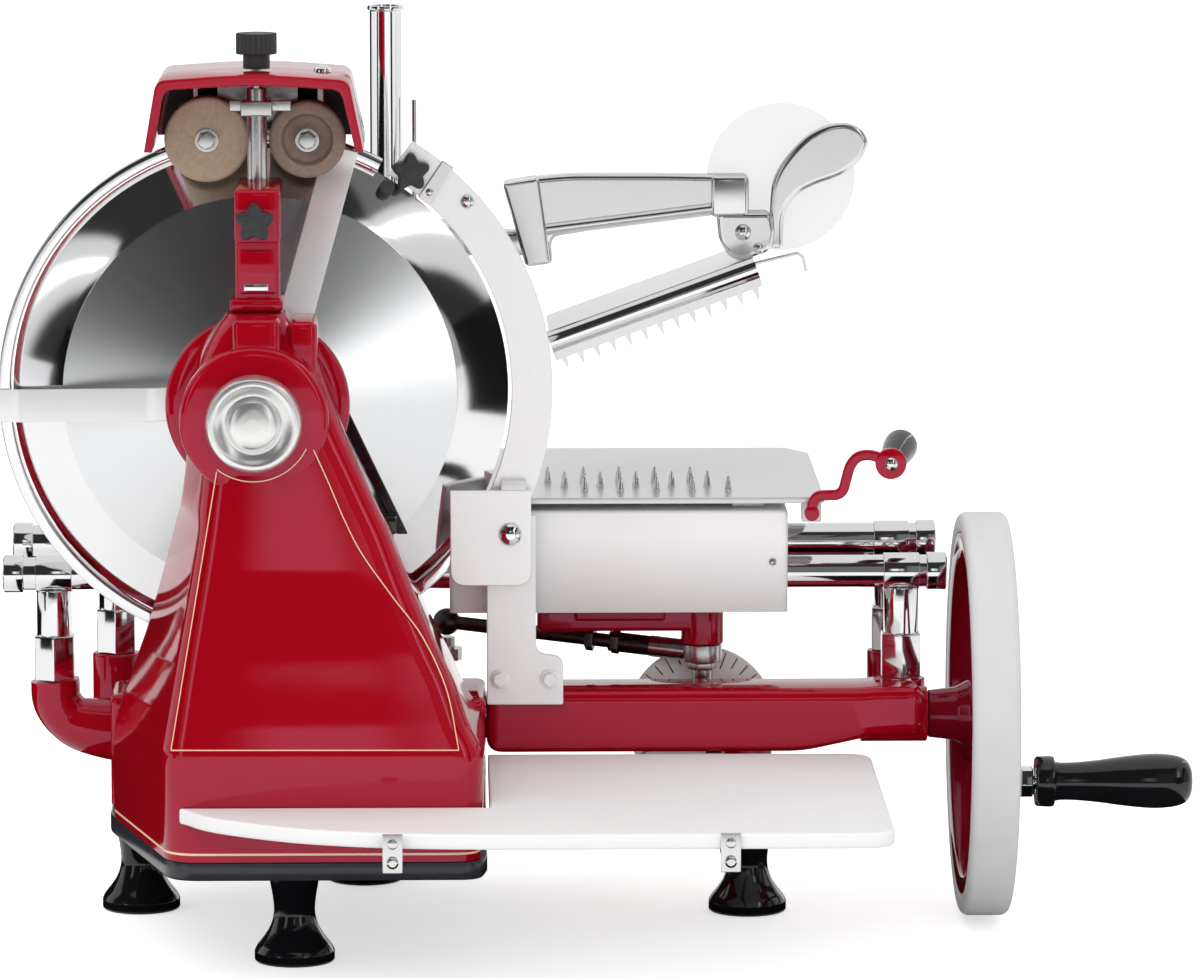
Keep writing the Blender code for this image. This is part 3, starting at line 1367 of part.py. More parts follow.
def make_flywheel():
    tyre_inner = FLYWHEEL_RADIUS - TYRE_THICKNESS
    rim_outer = tyre_inner - GAP
    rim_inner = rim_outer - RIM_THICKNESS
    centre = (FLYWHEEL_LEFT, SHAFT_Y, SHAFT_HEIGHT)
    crown = TYRE_THICKNESS / 3
    turned(
        "flywheel_tyre",
        [
            (tyre_inner, FLYWHEEL_WIDTH),
            (FLYWHEEL_RADIUS - crown, FLYWHEEL_WIDTH),
            (FLYWHEEL_RADIUS, FLYWHEEL_WIDTH - crown),
            (FLYWHEEL_RADIUS, crown),
            (FLYWHEEL_RADIUS - crown, 0),
            (tyre_inner, 0),
        ],
        centre,
        "X",
        "white",
        FINE_STEPS,
        closed=True,
    )
    wheel = turned(
        "flywheel",
        [(rim_outer, FLYWHEEL_WIDTH), (rim_outer, 0), (rim_inner, 0), (rim_inner, FLYWHEEL_WIDTH)],
        centre,
        "X",
        "enamel",
        FINE_STEPS,
        closed=True,
    )
    hub = cylinder(
        "wheel_hub",
        WHEEL_HUB_RADIUS,
        (WHEEL_HUB_LEFT, SHAFT_Y, SHAFT_HEIGHT),
        FLYWHEEL_LEFT + FLYWHEEL_WIDTH * WHEEL_HUB_END_SHARE - WHEEL_HUB_LEFT,
        "X",
    )
    spokes = []
    for i in range(SPOKE_COUNT):
        degrees = HANDLE_ANGLE_DEGREES + 360 * i / SPOKE_COUNT
        inner = wheel_point(WHEEL_HUB_RADIUS * 0.8, degrees)
        outer = wheel_point(rim_inner + RIM_THICKNESS / 3, degrees)
        side = Vector((-math.sin(math.radians(degrees)), math.cos(math.radians(degrees))))
        wide = side * SPOKE_WIDTH * 0.62
        slim = side * SPOKE_WIDTH / 2
        corners = [Vector(inner) - wide, Vector(outer) - slim, Vector(outer) + slim, Vector(inner) + wide]
        spokes.append(
            plate(
                f"spoke_{i}",
                [tuple(c) for c in corners],
                SPOKE_THICKNESS,
                "X",
                FLYWHEEL_LEFT + FLYWHEEL_WIDTH / 2,
            )
        )
    y, z = wheel_point(HANDLE_REACH, HANDLE_ANGLE_DEGREES)
    boss = cylinder("handle_boss", HANDLE_BOSS_RADIUS, (FLYWHEEL_LEFT, y, z), FLYWHEEL_WIDTH, "X")
    combine(wheel, [hub, *spokes, boss])
    shaft_bore = cylinder(
        "wheel_bore",
        SHAFT_RADIUS + GAP,
        (WHEEL_HUB_LEFT - OVERRUN, SHAFT_Y, SHAFT_HEIGHT),
        FLYWHEEL_LEFT + FLYWHEEL_WIDTH - WHEEL_HUB_LEFT + OVERRUN * 2,
        "X",
    )
    pin_bore = cylinder(
        "handle_bore",
        HANDLE_PIN_RADIUS + GAP,
        (FLYWHEEL_LEFT - OVERRUN, y, z),
        FLYWHEEL_WIDTH + OVERRUN * 2,
        "X",
        steps=COARSE_STEPS,
    )
    cut(wheel, [shaft_bore, pin_bore])

    face = FLYWHEEL_LEFT + FLYWHEEL_WIDTH + GAP
    pin = cylinder(
        "handle_pin",
        HANDLE_PIN_RADIUS,
        (FLYWHEEL_LEFT, y, z),
        HANDLE_END - HANDLE_CAP - FLYWHEEL_LEFT,
        "X",
        "chrome",
        COARSE_STEPS,
    )
    hexagon = bolt_hexagon("handle_hexagon", HANDLE_FLANGE_RADIUS * 1.7, (face, y, z), HANDLE_NUT_WIDTH, "X")
    combine(pin, [hexagon])
    start = face + HANDLE_NUT_WIDTH + GAP
    length = HANDLE_END - start
    grip = [(HANDLE_BULGE_RADIUS * r, length * s) for s, r in HANDLE_SHARES]
    bore = HANDLE_PIN_RADIUS + GAP
    profile = [(0, length), *grip, (bore, 0), (bore, length - HANDLE_CAP), (0, length - HANDLE_CAP)]
    turned("handle_grip", profile, (start, y, z), "X", "black")


def make_hub_and_blade():
    axis = BLADE_AXIS_HEIGHT
    bore = BLADE_SHAFT_RADIUS + GAP
    front = HUB_BACK - GAP
    width = front - FLANGE_BACK
    turned(
        "hub_flange",
        [
            (FLANGE_RADIUS - CASE_ROUNDING / 3, width),
            (FLANGE_RADIUS, width - CASE_ROUNDING / 3),
            (FLANGE_RADIUS, CASE_ROUNDING / 3),
            (FLANGE_RADIUS - CASE_ROUNDING / 3, 0),
            (bore, 0),
            (bore, width),
        ],
        (0, -front, axis),
        "Y",
        "enamel",
        ROUND_STEPS + COARSE_STEPS,
        closed=True,
    )
    depth = CAP_FRONT - HUB_FRONT
    turned(
        "hub_cap",
        [
            (0, depth - GAP),
            (CAP_RADIUS, depth - GAP),
            (CAP_RADIUS, CAP_RIM),
            (CAP_RADIUS - CAP_RIM, 0),
            (CAP_DOME_RADIUS + CAP_RIM, 0),
            (CAP_DOME_RADIUS + CAP_RIM / 2, CAP_RIM),
            (CAP_DOME_RADIUS, CAP_RIM),
            (CAP_DOME_RADIUS * 0.7, CAP_RIM - CAP_DOME_RISE * 0.7),
            (0, CAP_RIM - CAP_DOME_RISE),
        ],
        (0, -CAP_FRONT, axis),
        "Y",
        "chrome",
    )
    turned(
        "blade",
        [
            (0, -BLADE_BACK_HOLLOW),
            (BLADE_FLAT_RADIUS * 0.8, -BLADE_BACK_HOLLOW),
            (BLADE_RADIUS - BLADE_EDGE_WIDTH, 0),
            (BLADE_RADIUS, -BLADE_EDGE_WIDTH / 2),
            (BLADE_FLAT_RADIUS, -BLADE_DISH + BLADE_EDGE_WIDTH * 3),
            (BLADE_FLAT_RADIUS - BLADE_EDGE_WIDTH * 5, -BLADE_DISH),
            (0, -BLADE_DISH),
        ],
        (0, 0, axis),
        "Y",
        "chrome",
        FINE_STEPS,
    )


def make_ring_guard():
    """The chrome ring round the blade, its foot on the gear case, and the strap and brace that hold it."""
    steps = int((RING_END_DEGREES - RING_START_DEGREES) / RING_STEP_DEGREES)
    corner = (RING_OUTER_RADIUS - RING_INNER_RADIUS) / 4
    section = (
        (RING_INNER_RADIUS, -RING_FRONT + corner),
        (RING_INNER_RADIUS + corner, -RING_FRONT),
        (RING_OUTER_RADIUS - corner, -RING_FRONT),
        (RING_OUTER_RADIUS, -RING_FRONT + corner * 1.5),
        (RING_OUTER_RADIUS, RING_BACK),
        (RING_INNER_RADIUS, RING_BACK),
    )
    rings = []
    for i in range(steps + 1):
        angle = math.radians(RING_START_DEGREES + (RING_END_DEGREES - RING_START_DEGREES) * i / steps)
        c, s = math.cos(angle), math.sin(angle)
        rings.append([(r * c, y, BLADE_AXIS_HEIGHT + r * s) for r, y in section])
    ring = loft("ring_guard", rings, "chrome")
    foot = block(
        "ring_foot",
        (-RING_FOOT_WIDTH / 2, -RING_BACK, GEAR_CASE_HEIGHT + GAP),
        (RING_FOOT_WIDTH / 2, RING_BACK - GAP, BLADE_AXIS_HEIGHT - RING_OUTER_RADIUS + corner * 2),
    )
    combine(ring, [foot])

    flange_y = -FLANGE_BACK + GAP + STRAP_THICKNESS / 2
    ring_y = -RING_FRONT - GAP - STRAP_THICKNESS / 2
    low = BLADE_AXIS_HEIGHT - STRAP_DROP
    strap(
        "guard_strap",
        (
            (-RING_OUTER_RADIUS, ring_y, low),
            (-RING_INNER_RADIUS + STRAP_THICKNESS, ring_y, low),
            (-FLANGE_RADIUS - STRAP_THICKNESS * 2, flange_y, BLADE_AXIS_HEIGHT - STRAP_THICKNESS / 3),
            (-FLANGE_RADIUS * STRAP_END_SHARE, flange_y, BLADE_AXIS_HEIGHT),
        ),
        Vector((0, 0, 1)),
    )
    foot_point = Vector((BRACE_FOOT_X, flange_y, BLADE_AXIS_HEIGHT + BRACE_FOOT_RISE))
    way = Vector((BRACE_TOP_X - BRACE_FOOT_X, 0, RING_OUTER_RADIUS * 0.93 - BRACE_FOOT_RISE))
    middle = Vector((0, ring_y - flange_y, 0))
    strap(
        "ring_brace",
        (
            foot_point,
            foot_point + way * BRACE_BEND_SHARES[0],
            foot_point + way * BRACE_BEND_SHARES[1] + middle,
            foot_point + way + middle,
        ),
        Vector((way.z, 0, -way.x)).normalized(),
    )


def strap(name, path, across):
    """A flat bar along a path. It keeps its width across, and its thickness along Y."""
    side = across * STRAP_WIDTH / 2
    deep = Vector((0, STRAP_THICKNESS / 2, 0))
    rings = [
        [Vector(p) - side - deep, Vector(p) + side - deep, Vector(p) + side + deep, Vector(p) - side + deep]
        for p in path
    ]
    return loft(name, rings, "pale_steel")


def star(name, centre, front, shank, finish="knob"):
    """A star knob that faces the operator, with its threaded shank behind it."""
    outline = []
    steps = STAR_LOBES * 6
    for i in range(steps):
        angle = math.tau * i / steps + math.pi / 2
        radius = STAR_RADIUS * (1 - STAR_WAVE_SHARE + STAR_WAVE_SHARE * math.cos(STAR_LOBES * angle - math.pi / 2 * STAR_LOBES))
        outline.append((centre[0] + radius * math.cos(angle), centre[1] + radius * math.sin(angle)))
    at = (centre[0], front, centre[1])
    knob = plate(name, outline, STAR_DEPTH, "Y", front + STAR_DEPTH / 2, finish, at=at)
    stem = cylinder(
        f"{name}_stem",
        STAR_STEM_RADIUS,
        (centre[0], front + STAR_DEPTH / 2, centre[1]),
        STAR_DEPTH / 2 + shank,
        "Y",
        steps=COARSE_STEPS,
    )
    combine(knob, [stem])
    return knob


def make_gauge():
    """The gauge plate beside the blade, its bracket on the beam, and what fastens them."""
    middle = (0, BLADE_AXIS_HEIGHT)
    outline = arc(middle, GAUGE_OUTER_RADIUS, GAUGE_BOTTOM_DEGREES, GAUGE_TOP_DEGREES - 1, 18)
    outline += arc(middle, GAUGE_INNER_RADIUS, GAUGE_TOP_DEGREES, GAUGE_BOTTOM_DEGREES, 18)
    sheet = GAUGE_THICKNESS - GAP
    star_place = (GAUGE_STAR_X, GAUGE_STAR_HEIGHT)
    star_hole = ring_outline(star_place, STAR_STEM_RADIUS + GAP, COARSE_STEPS)
    gauge = plate("gauge_plate", outline, sheet, "Y", -GAUGE_THICKNESS / 2 - GAP / 2, "pale_steel", [star_hole])
    tab_corners = [
        (TAB_LEFT, TAB_BOTTOM),
        (TAB_RIGHT, TAB_BOTTOM),
        (TAB_RIGHT, TAB_TOP),
        (TAB_LEFT, TAB_TOP),
    ]
    tab = plate(
        "gauge_tab",
        rounded(tab_corners, (TAB_CORNER, TAB_CORNER, 0, 0)),
        GAUGE_THICKNESS,
        "Y",
        -TAB_FRONT + GAUGE_THICKNESS / 2,
    )
    step = block(
        "gauge_step",
        (TAB_STEP_LEFT, -TAB_FRONT + GAUGE_THICKNESS / 2, TAB_TOP - TAB_CORNER),
        (TAB_RIGHT - GAUGE_THICKNESS, -GAUGE_THICKNESS / 2, TAB_TOP + TAB_CORNER / 2),
    )
    bracket_back = BEAM_FRONT + GAP
    bracket_front = bracket_back + GAUGE_THICKNESS
    boss = cylinder(
        "tab_boss",
        DOME_NUT_RADIUS,
        (DOME_NUT_X, -TAB_FRONT + GAUGE_THICKNESS / 2, DOME_NUT_HEIGHT),
        TAB_FRONT - GAUGE_THICKNESS / 2 - bracket_front - GAP,
        "Y",
    )
    combine(gauge, [tab, step, boss])
    bore = cylinder(
        "nut_bore",
        NUT_SHANK_RADIUS + GAP,
        (DOME_NUT_X, -TAB_FRONT - OVERRUN, DOME_NUT_HEIGHT),
        TAB_FRONT + OVERRUN,
        "Y",
        steps=COARSE_STEPS,
    )
    cut(gauge, [bore])

    shoulder = (BRACKET_FOOT_RIGHT - BRACKET_RIGHT) / 2
    corners = [
        (BRACKET_LEFT, BRACKET_BOTTOM),
        (BRACKET_FOOT_RIGHT, BRACKET_BOTTOM),
        (BRACKET_FOOT_RIGHT, BRACKET_SHOULDER),
        (BRACKET_RIGHT, BRACKET_SHOULDER),
        (BRACKET_RIGHT, BRACKET_TOP),
        (BRACKET_LEFT, BRACKET_TOP),
    ]
    outline = rounded(corners, (0, 0, shoulder, 0, 0, 0))
    holes = [ring_outline((DOME_NUT_X, DOME_NUT_HEIGHT), NUT_SHANK_RADIUS + GAP, COARSE_STEPS)]
    bracket_middle = -bracket_back - GAUGE_THICKNESS / 2
    bracket = plate("gauge_bracket", outline, GAUGE_THICKNESS, "Y", bracket_middle, "pale_steel", holes)
    slider = block(
        "gauge_slider",
        (BRACKET_LEFT + GAUGE_THICKNESS, bracket_middle, BEAM_TOP + GAP),
        (BRACKET_FOOT_RIGHT - GAUGE_THICKNESS, SLIDER_BACK, BRACKET_BOLT_HEIGHT + DOME_NUT_RADIUS),
    )
    bolts = [
        dome(f"gauge_bolt_{i}", (x, -bracket_front, BRACKET_BOLT_HEIGHT), BRACKET_BOLT_RADIUS, GAUGE_THICKNESS / 2)
        for i, x in enumerate(BRACKET_BOLT_XS)
    ]
    combine(bracket, [slider, *bolts])

    dome(
        "gauge_nut",
        (DOME_NUT_X, -TAB_FRONT - GAP, DOME_NUT_HEIGHT),
        DOME_NUT_RADIUS,
        TAB_FRONT - bracket_back,
        "chrome",
    )
    star("gauge_star_knob", star_place, -GAUGE_THICKNESS - GAP - STAR_DEPTH, GAUGE_THICKNESS)


def dome(name, face, radius, shank, finish=None):
    """A domed fastener seen from the front: its head stands out to -Y and its shank runs back."""
    height = radius * DOME_HEIGHT_SHARE
    profile = [
        (0, shank),
        (NUT_SHANK_RADIUS, shank),
        (NUT_SHANK_RADIUS, 0),
        (radius, 0),
        (radius, -height * 0.35),
        (radius * 0.75, -height * 0.45),
        (radius * 0.55, -height * 0.85),
        (0, -height),
    ]
    return turned(name, profile, face, "Y", finish, COARSE_STEPS)


def make_deflector():
    outline = [
        (DEFLECTOR_TOP_X - DEFLECTOR_WIDTH, DEFLECTOR_TOP),
        (DEFLECTOR_BOTTOM_X - DEFLECTOR_WIDTH, DEFLECTOR_BOTTOM),
        (DEFLECTOR_BOTTOM_X, DEFLECTOR_BOTTOM),
        (DEFLECTOR_TOP_X, DEFLECTOR_TOP),
    ]
    back = -DEFLECTOR_BACK
    strip = plate("slice_deflector", outline, DEFLECTOR_THICKNESS, "Y", back - DEFLECTOR_THICKNESS / 2, "black")
    lug = block(
        "deflector_lug",
        (DEFLECTOR_BOTTOM_X - DEFLECTOR_WIDTH * 2, -DEFLECTOR_LUG_FRONT, DEFLECTOR_BOTTOM + GAP * 6),
        (
            DEFLECTOR_BOTTOM_X - DEFLECTOR_WIDTH * 0.7,
            back - DEFLECTOR_THICKNESS / 2,
            DEFLECTOR_BOTTOM + DEFLECTOR_WIDTH,
        ),
    )
    combine(strip, [lug])


def make_upper_arm():
    """The red arm over the hub that carries the sharpener."""
    arm = block(
        "upper_arm",
        (-ARM_LEFT, -ARM_ROOT_FRONT, COLUMN_TOP + GAP),
        (ARM_RIGHT, -HUB_BACK, ARM_TOP),
        "enamel",
        ARM_ROUNDING,
    )
    head = block(
        "arm_head",
        (-ARM_LEFT, -ARM_ROOT_FRONT, ARM_HEAD_BOTTOM),
        (ARM_RIGHT, -ARM_BACK, ARM_TOP - GAP),
        rounding=ARM_ROUNDING,
    )
    collar = block(
        "arm_collar",
        (-ARM_LEFT - ARM_ROUNDING, -ARM_ROOT_FRONT - ARM_ROUNDING, COLUMN_TOP + GAP * 2),
        (ARM_RIGHT + ARM_ROUNDING / 2, -HUB_BACK + ARM_ROUNDING / 2, ARM_COLLAR_TOP),
        rounding=ARM_ROUNDING / 2,
    )
    combine(arm, [head, collar])
    bore = cylinder(
        "arm_bore",
        SHARPENER_SHAFT_RADIUS + GAP,
        (0, SHARPENER_Y, ARM_HEAD_BOTTOM - OVERRUN),
        ARM_TOP - ARM_HEAD_BOTTOM + OVERRUN * 2,
        "Z",
    )
    screw_bore = cylinder(
        "arm_screw_bore",
        STAR_STEM_RADIUS + GAP,
        (0, -ARM_ROOT_FRONT - OVERRUN, ARM_STAR_HEIGHT),
        ARM_ROOT_FRONT + SHARPENER_Y + OVERRUN,
        "Y",
        steps=COARSE_STEPS,
    )
    cut(arm, [bore, screw_bore])
    shank = ARM_ROOT_FRONT + SHARPENER_Y - SHARPENER_SHAFT_RADIUS - GAP
    star("arm_star_knob", (0, ARM_STAR_HEIGHT), -ARM_ROOT_FRONT - GAP - STAR_DEPTH, shank)


def stone_places():
    return (
        ("stone_left", LEFT_STONE_X, LEFT_STONE_RADIUS, False),
        ("stone_right", RIGHT_STONE_X, RIGHT_STONE_RADIUS, True),
    )


def make_sharpener():
    inner_top = COVER_TOP - COVER_WALL
    body = block(
        "sharpener_body",
        (-EAR_OUTER, -STONE_BACK + GAP * 4, STONE_HEIGHT + SPINDLE_RADIUS * 2),
        (EAR_OUTER, COVER_BACK - COVER_WALL - GAP, inner_top - GAP),
        "steel",
    )
    ears = [
        block(
            f"ear_{name}",
            (x - EAR_WIDTH / 2, -STONE_BACK + GAP * 4, STONE_HEIGHT - SPINDLE_RADIUS - GAP * 4),
            (x + EAR_WIDTH / 2, -RING_FRONT - GAP * 3, inner_top - GAP * 2),
        )
        for name, x, _, _ in stone_places()
    ]
    bridge = block(
        "bridge",
        (-BRIDGE_HALF_WIDTH, SHARPENER_Y - SHARPENER_SHAFT_RADIUS * 1.6, BRIDGE_BOTTOM),
        (BRIDGE_HALF_WIDTH, -STONE_BACK + CASE_ROUNDING, BRIDGE_BOTTOM + BRIDGE_THICKNESS),
    )
    shaft = cylinder(
        "sharpener_shaft",
        SHARPENER_SHAFT_RADIUS,
        (0, SHARPENER_Y, ARM_HEAD_BOTTOM + GAP),
        inner_top - GAP - ARM_HEAD_BOTTOM,
        "Z",
    )
    stud = cylinder(
        "sharpener_stud",
        SHARPENER_STUD_RADIUS,
        (0, SHARPENER_Y, BRIDGE_BOTTOM),
        COVER_TOP + SHARPENER_STUD_RADIUS * 2 - BRIDGE_BOTTOM,
        "Z",
        steps=COARSE_STEPS,
    )
    spindles = []
    for name, x, _, _ in stone_places():
        front = STONE_BACK + STONE_WIDTH + GAP * 2
        spindles.append(
            cylinder(
                f"spindle_{name}",
                SPINDLE_RADIUS,
                (x, -front - SPINDLE_HEAD, STONE_HEIGHT),
                front + SPINDLE_HEAD - RING_FRONT - GAP * 4,
                "Y",
                steps=COARSE_STEPS,
            )
        )
        spindles.append(
            bolt_hexagon(
                f"nut_{name}",
                SPINDLE_RADIUS * 2.6,
                (x, -front - SPINDLE_HEAD * 0.7, STONE_HEIGHT),
                SPINDLE_HEAD * 0.7,
                "Y",
            )
        )
    combine(body, [*ears, bridge, shaft, stud, *spindles])
    for name, x, radius, cup in stone_places():
        bore = SPINDLE_RADIUS + GAP
        edge = STONE_EDGE
        profile = [
            (bore, STONE_WIDTH),
            (radius - edge, STONE_WIDTH),
            (radius, STONE_WIDTH - edge),
            (radius, edge),
            (radius - edge, 0),
        ]
        if cup:
            profile += [(STONE_CUP_RADIUS, 0), (STONE_CUP_RADIUS - edge, STONE_CUP_DEPTH)]
            profile += [(bore, STONE_CUP_DEPTH)]
        else:
            profile += [(bore, 0)]
        place = (x, -STONE_BACK - STONE_WIDTH, STONE_HEIGHT)
        turned(name, profile, place, "Y", "grit", closed=True)

    shoulder = COVER_TAPER * 1.6
    outline = rounded(
        [
            (COVER_LEFT, COVER_BOTTOM),
            (COVER_RIGHT, COVER_BOTTOM),
            (COVER_RIGHT - COVER_TAPER, COVER_TOP),
            (COVER_LEFT + COVER_TAPER, COVER_TOP),
        ],
        (0, 0, shoulder, shoulder),
    )
    depth = COVER_FRONT + COVER_BACK
    middle = (COVER_BACK - COVER_FRONT) / 2
    cover = plate("sharpener_cover", outline, depth, "Y", middle, "enamel")
    wall = COVER_WALL
    inner = rounded(
        [
            (COVER_LEFT + wall, COVER_BOTTOM - OVERRUN),
            (COVER_RIGHT - wall, COVER_BOTTOM - OVERRUN),
            (COVER_RIGHT - COVER_TAPER - wall, COVER_TOP - wall),
            (COVER_LEFT + COVER_TAPER + wall, COVER_TOP - wall),
        ],
        (0, 0, shoulder - wall, shoulder - wall),
    )
    hollow = plate("cover_hollow", inner, depth - wall + OVERRUN, "Y", middle - (wall + OVERRUN) / 2)
    hole = cylinder(
        "cover_hole",
        SHARPENER_STUD_RADIUS + GAP,
        (0, SHARPENER_Y, COVER_TOP - wall - OVERRUN),
        wall + OVERRUN * 2,
        "Z",
        steps=COARSE_STEPS,
    )
    cut(cover, [hollow, hole])
    knob_bore = SHARPENER_STUD_RADIUS + GAP
    stem = SHARPENER_KNOB_TOP - SHARPENER_KNOB_HEIGHT - COVER_TOP - GAP
    top = stem + SHARPENER_KNOB_HEIGHT
    turned(
        "sharpener_knob",
        [
            (0, top),
            (SHARPENER_KNOB_RADIUS, top),
            (SHARPENER_KNOB_RADIUS, stem),
            (SHARPENER_STEM_RADIUS, stem),
            (SHARPENER_STEM_RADIUS, 0),
            (knob_bore, 0),
            (knob_bore, stem),
            (0, stem),
        ],
        (0, SHARPENER_Y, COVER_TOP + GAP),
        "Z",
        "knob",
    )


def make_carriage():
    """The open box that slides on the two rods, and the casting inside it that bears on them."""
    box = block(
        "carriage_box",
        (BOX_LEFT, BOX_FRONT, BOX_BOTTOM),
        (BOX_RIGHT, BOX_BACK, BOX_TOP),
        "pale_steel",
    )
    hollow = block(
        "box_hollow",
        (BOX_LEFT + BOX_WALL, BOX_FRONT + BOX_WALL, BOX_BOTTOM - OVERRUN),
        (BOX_RIGHT - BOX_WALL, BOX_BACK - BOX_WALL, BOX_TOP - BOX_WALL),
    )
    boss_top = LINK_BAR_BOTTOM + LINK_BAR_HEIGHT
    under_top = BOX_TOP - BOX_WALL - GAP
    casting = block(
        "carriage_casting",
        (LINK_BAR_LEFT, LINK_Y - LINK_BAR_DEPTH / 2, LINK_BAR_BOTTOM),
        (LINK_X, LINK_Y + LINK_BAR_DEPTH / 2, boss_top),
        "enamel",
    )
    slots = []
    bearings = []
    bores = []
    rods = (
        ("front", FRONT_ROD_Y, FRONT_ROD_HEIGHT, FRONT_ROD_RADIUS),
        ("rear", REAR_ROD_Y, REAR_ROD_HEIGHT, REAR_ROD_RADIUS),
    )
    for name, y, height, radius in rods:
        start = (BOX_LEFT - OVERRUN, y, height)
        length = BOX_RIGHT - BOX_LEFT + OVERRUN * 2
        slots.append(cylinder(f"{name}_slot", radius + ROD_CLEARANCE, start, length, "X"))
        bores.append(cylinder(f"{name}_bearing_bore", radius + GAP, start, length, "X"))
        half = radius + BEARING_WALL
        bearings.append(
            block(
                f"{name}_bearing",
                (BOX_LEFT + BEARING_INSET, y - half, height - half),
                (BOX_RIGHT - BEARING_INSET, y + half, under_top),
            )
        )
    cut(box, [hollow, *slots])
    boss = cylinder(
        "link_boss",
        LINK_BOSS_RADIUS,
        (LINK_X, LINK_Y, LINK_BOSS_BOTTOM),
        boss_top - GAP - LINK_BOSS_BOTTOM,
        "Z",
    )
    web = block(
        "link_web",
        (LINK_BAR_LEFT + LINK_BAR_DEPTH, FRONT_ROD_Y + FRONT_ROD_RADIUS + BEARING_WALL / 2, boss_top - LINK_WEB),
        (LINK_X - LINK_BAR_DEPTH, LINK_Y + LINK_WEB / 2, under_top - GAP),
    )
    bridge = block(
        "casting_bridge",
        (LINK_BAR_LEFT + LINK_BAR_DEPTH * 1.5, LINK_Y, under_top - LINK_WEB * 2),
        (LINK_X - LINK_BAR_DEPTH * 1.5, REAR_ROD_Y - REAR_ROD_RADIUS - BEARING_WALL / 2, under_top - GAP * 2),
    )
    combine(casting, [*bearings, boss, web, bridge])
    bore = cylinder(
        "link_bore",
        LINK_PIN_RADIUS + GAP,
        (LINK_X, LINK_Y, LINK_BOSS_BOTTOM - OVERRUN),
        LINK_PIN_DEPTH + OVERRUN,
        "Z",
        steps=COARSE_STEPS,
    )
    cut(casting, [*bores, bore])
    eye_bottom = LINK_BOSS_BOTTOM - GAP - ROD_EYE_HEIGHT
    nut_top = eye_bottom - GAP
    pin_top = LINK_BOSS_BOTTOM + LINK_PIN_DEPTH - GAP
    turned(
        "link_pin",
        [
            (0, pin_top),
            (LINK_PIN_RADIUS, pin_top),
            (LINK_PIN_RADIUS, nut_top),
            (LINK_NUT_RADIUS, nut_top),
            (LINK_NUT_RADIUS, nut_top - LINK_NUT_HEIGHT),
            (LINK_TAIL_RADIUS, nut_top - LINK_NUT_HEIGHT),
            (LINK_TAIL_RADIUS, LINK_PIN_BOTTOM),
            (0, LINK_PIN_BOTTOM),
        ],
        (LINK_X, LINK_Y, 0),
        "Z",
        "steel",
        COARSE_STEPS,
    )


def make_table():
    bottom = TABLE_TOP - TABLE_THICKNESS
    outline = [
        (TABLE_LEFT, TABLE_FRONT),
        (TABLE_RIGHT, TABLE_FRONT),
        (TABLE_RIGHT, TABLE_BACK - TABLE_CORNER_Y),
        (TABLE_RIGHT - TABLE_CORNER_X, TABLE_BACK),
        (TABLE_LEFT, TABLE_BACK),
    ]
    table = plate("product_table", outline, TABLE_THICKNESS, "Z", bottom + TABLE_THICKNESS / 2, "steel")
    runners = [
        block(
            f"runner_{i}",
            (x - RUNNER_WIDTH / 2, BOX_FRONT + RUNNER_INSET, BOX_TOP + GAP),
            (x + RUNNER_WIDTH / 2, BOX_BACK - RUNNER_INSET, bottom + TABLE_THICKNESS / 2),
        )
        for i, x in enumerate((BOX_LEFT + RUNNER_INSET * 2, BOX_RIGHT - RUNNER_INSET * 2))
    ]
    x, z = LEVER_PIVOT
    lug = block(
        "lever_lug",
        (x - LEVER_LUG / 2, TABLE_FRONT + GAP, z - LEVER_LUG / 2),
        (x + LEVER_LUG / 2, TABLE_FRONT + LEVER_LUG, bottom + TABLE_THICKNESS / 2),
    )

    def fill(work):
        for row_x, row_y in SPIKE_ROWS:
            for i in range(SPIKES_PER_ROW):
                base = Vector((row_x + SPIKE_PITCH * i, row_y, TABLE_TOP - TABLE_THICKNESS / 2))
                height = SPIKE_HEIGHT + TABLE_THICKNESS / 2
                bmesh.ops.create_cone(
                    work,
                    cap_ends=True,
                    segments=SPIKE_SIDES,
                    radius1=SPIKE_RADIUS,
                    radius2=SPIKE_RADIUS * SPIKE_TIP_SHARE,
                    depth=height,
                    matrix=Matrix.Translation(base + Vector((0, 0, height / 2))),
                )

    spikes = place_object("spikes", mesh_of("spikes", fill), None)
    combine(table, [*runners, lug, spikes])
    pin_hole = cylinder(
        "lever_pin_hole",
        LEVER_PIN_RADIUS + GAP,
        (x, TABLE_FRONT - OVERRUN, z),
        LEVER_LUG + OVERRUN * 2,
        "Y",
        steps=COARSE_STEPS,
    )
    cut(table, [pin_hole])


def wide_line(points, width):
    """The outline of a bar of one width along a line in a plane."""
    count = len(points)
    sides = ([], [])
    for i, point in enumerate(points):
        here = Vector(point)
        ahead = (Vector(points[min(i + 1, count - 1)]) - here).normalized()
        back = (here - Vector(points[max(i - 1, 0)])).normalized()
        way = (ahead + back).normalized()
        normal = Vector((-way.y, way.x))
        straight = ahead if back.length == 0 else back
        mitre = 1 / max(math.sqrt(0.5), abs(way.dot(straight)))
        sides[0].append(tuple(here + normal * width / 2 * mitre))
        sides[1].append(tuple(here - normal * width / 2 * mitre))
    return sides[0] + sides[1][::-1]


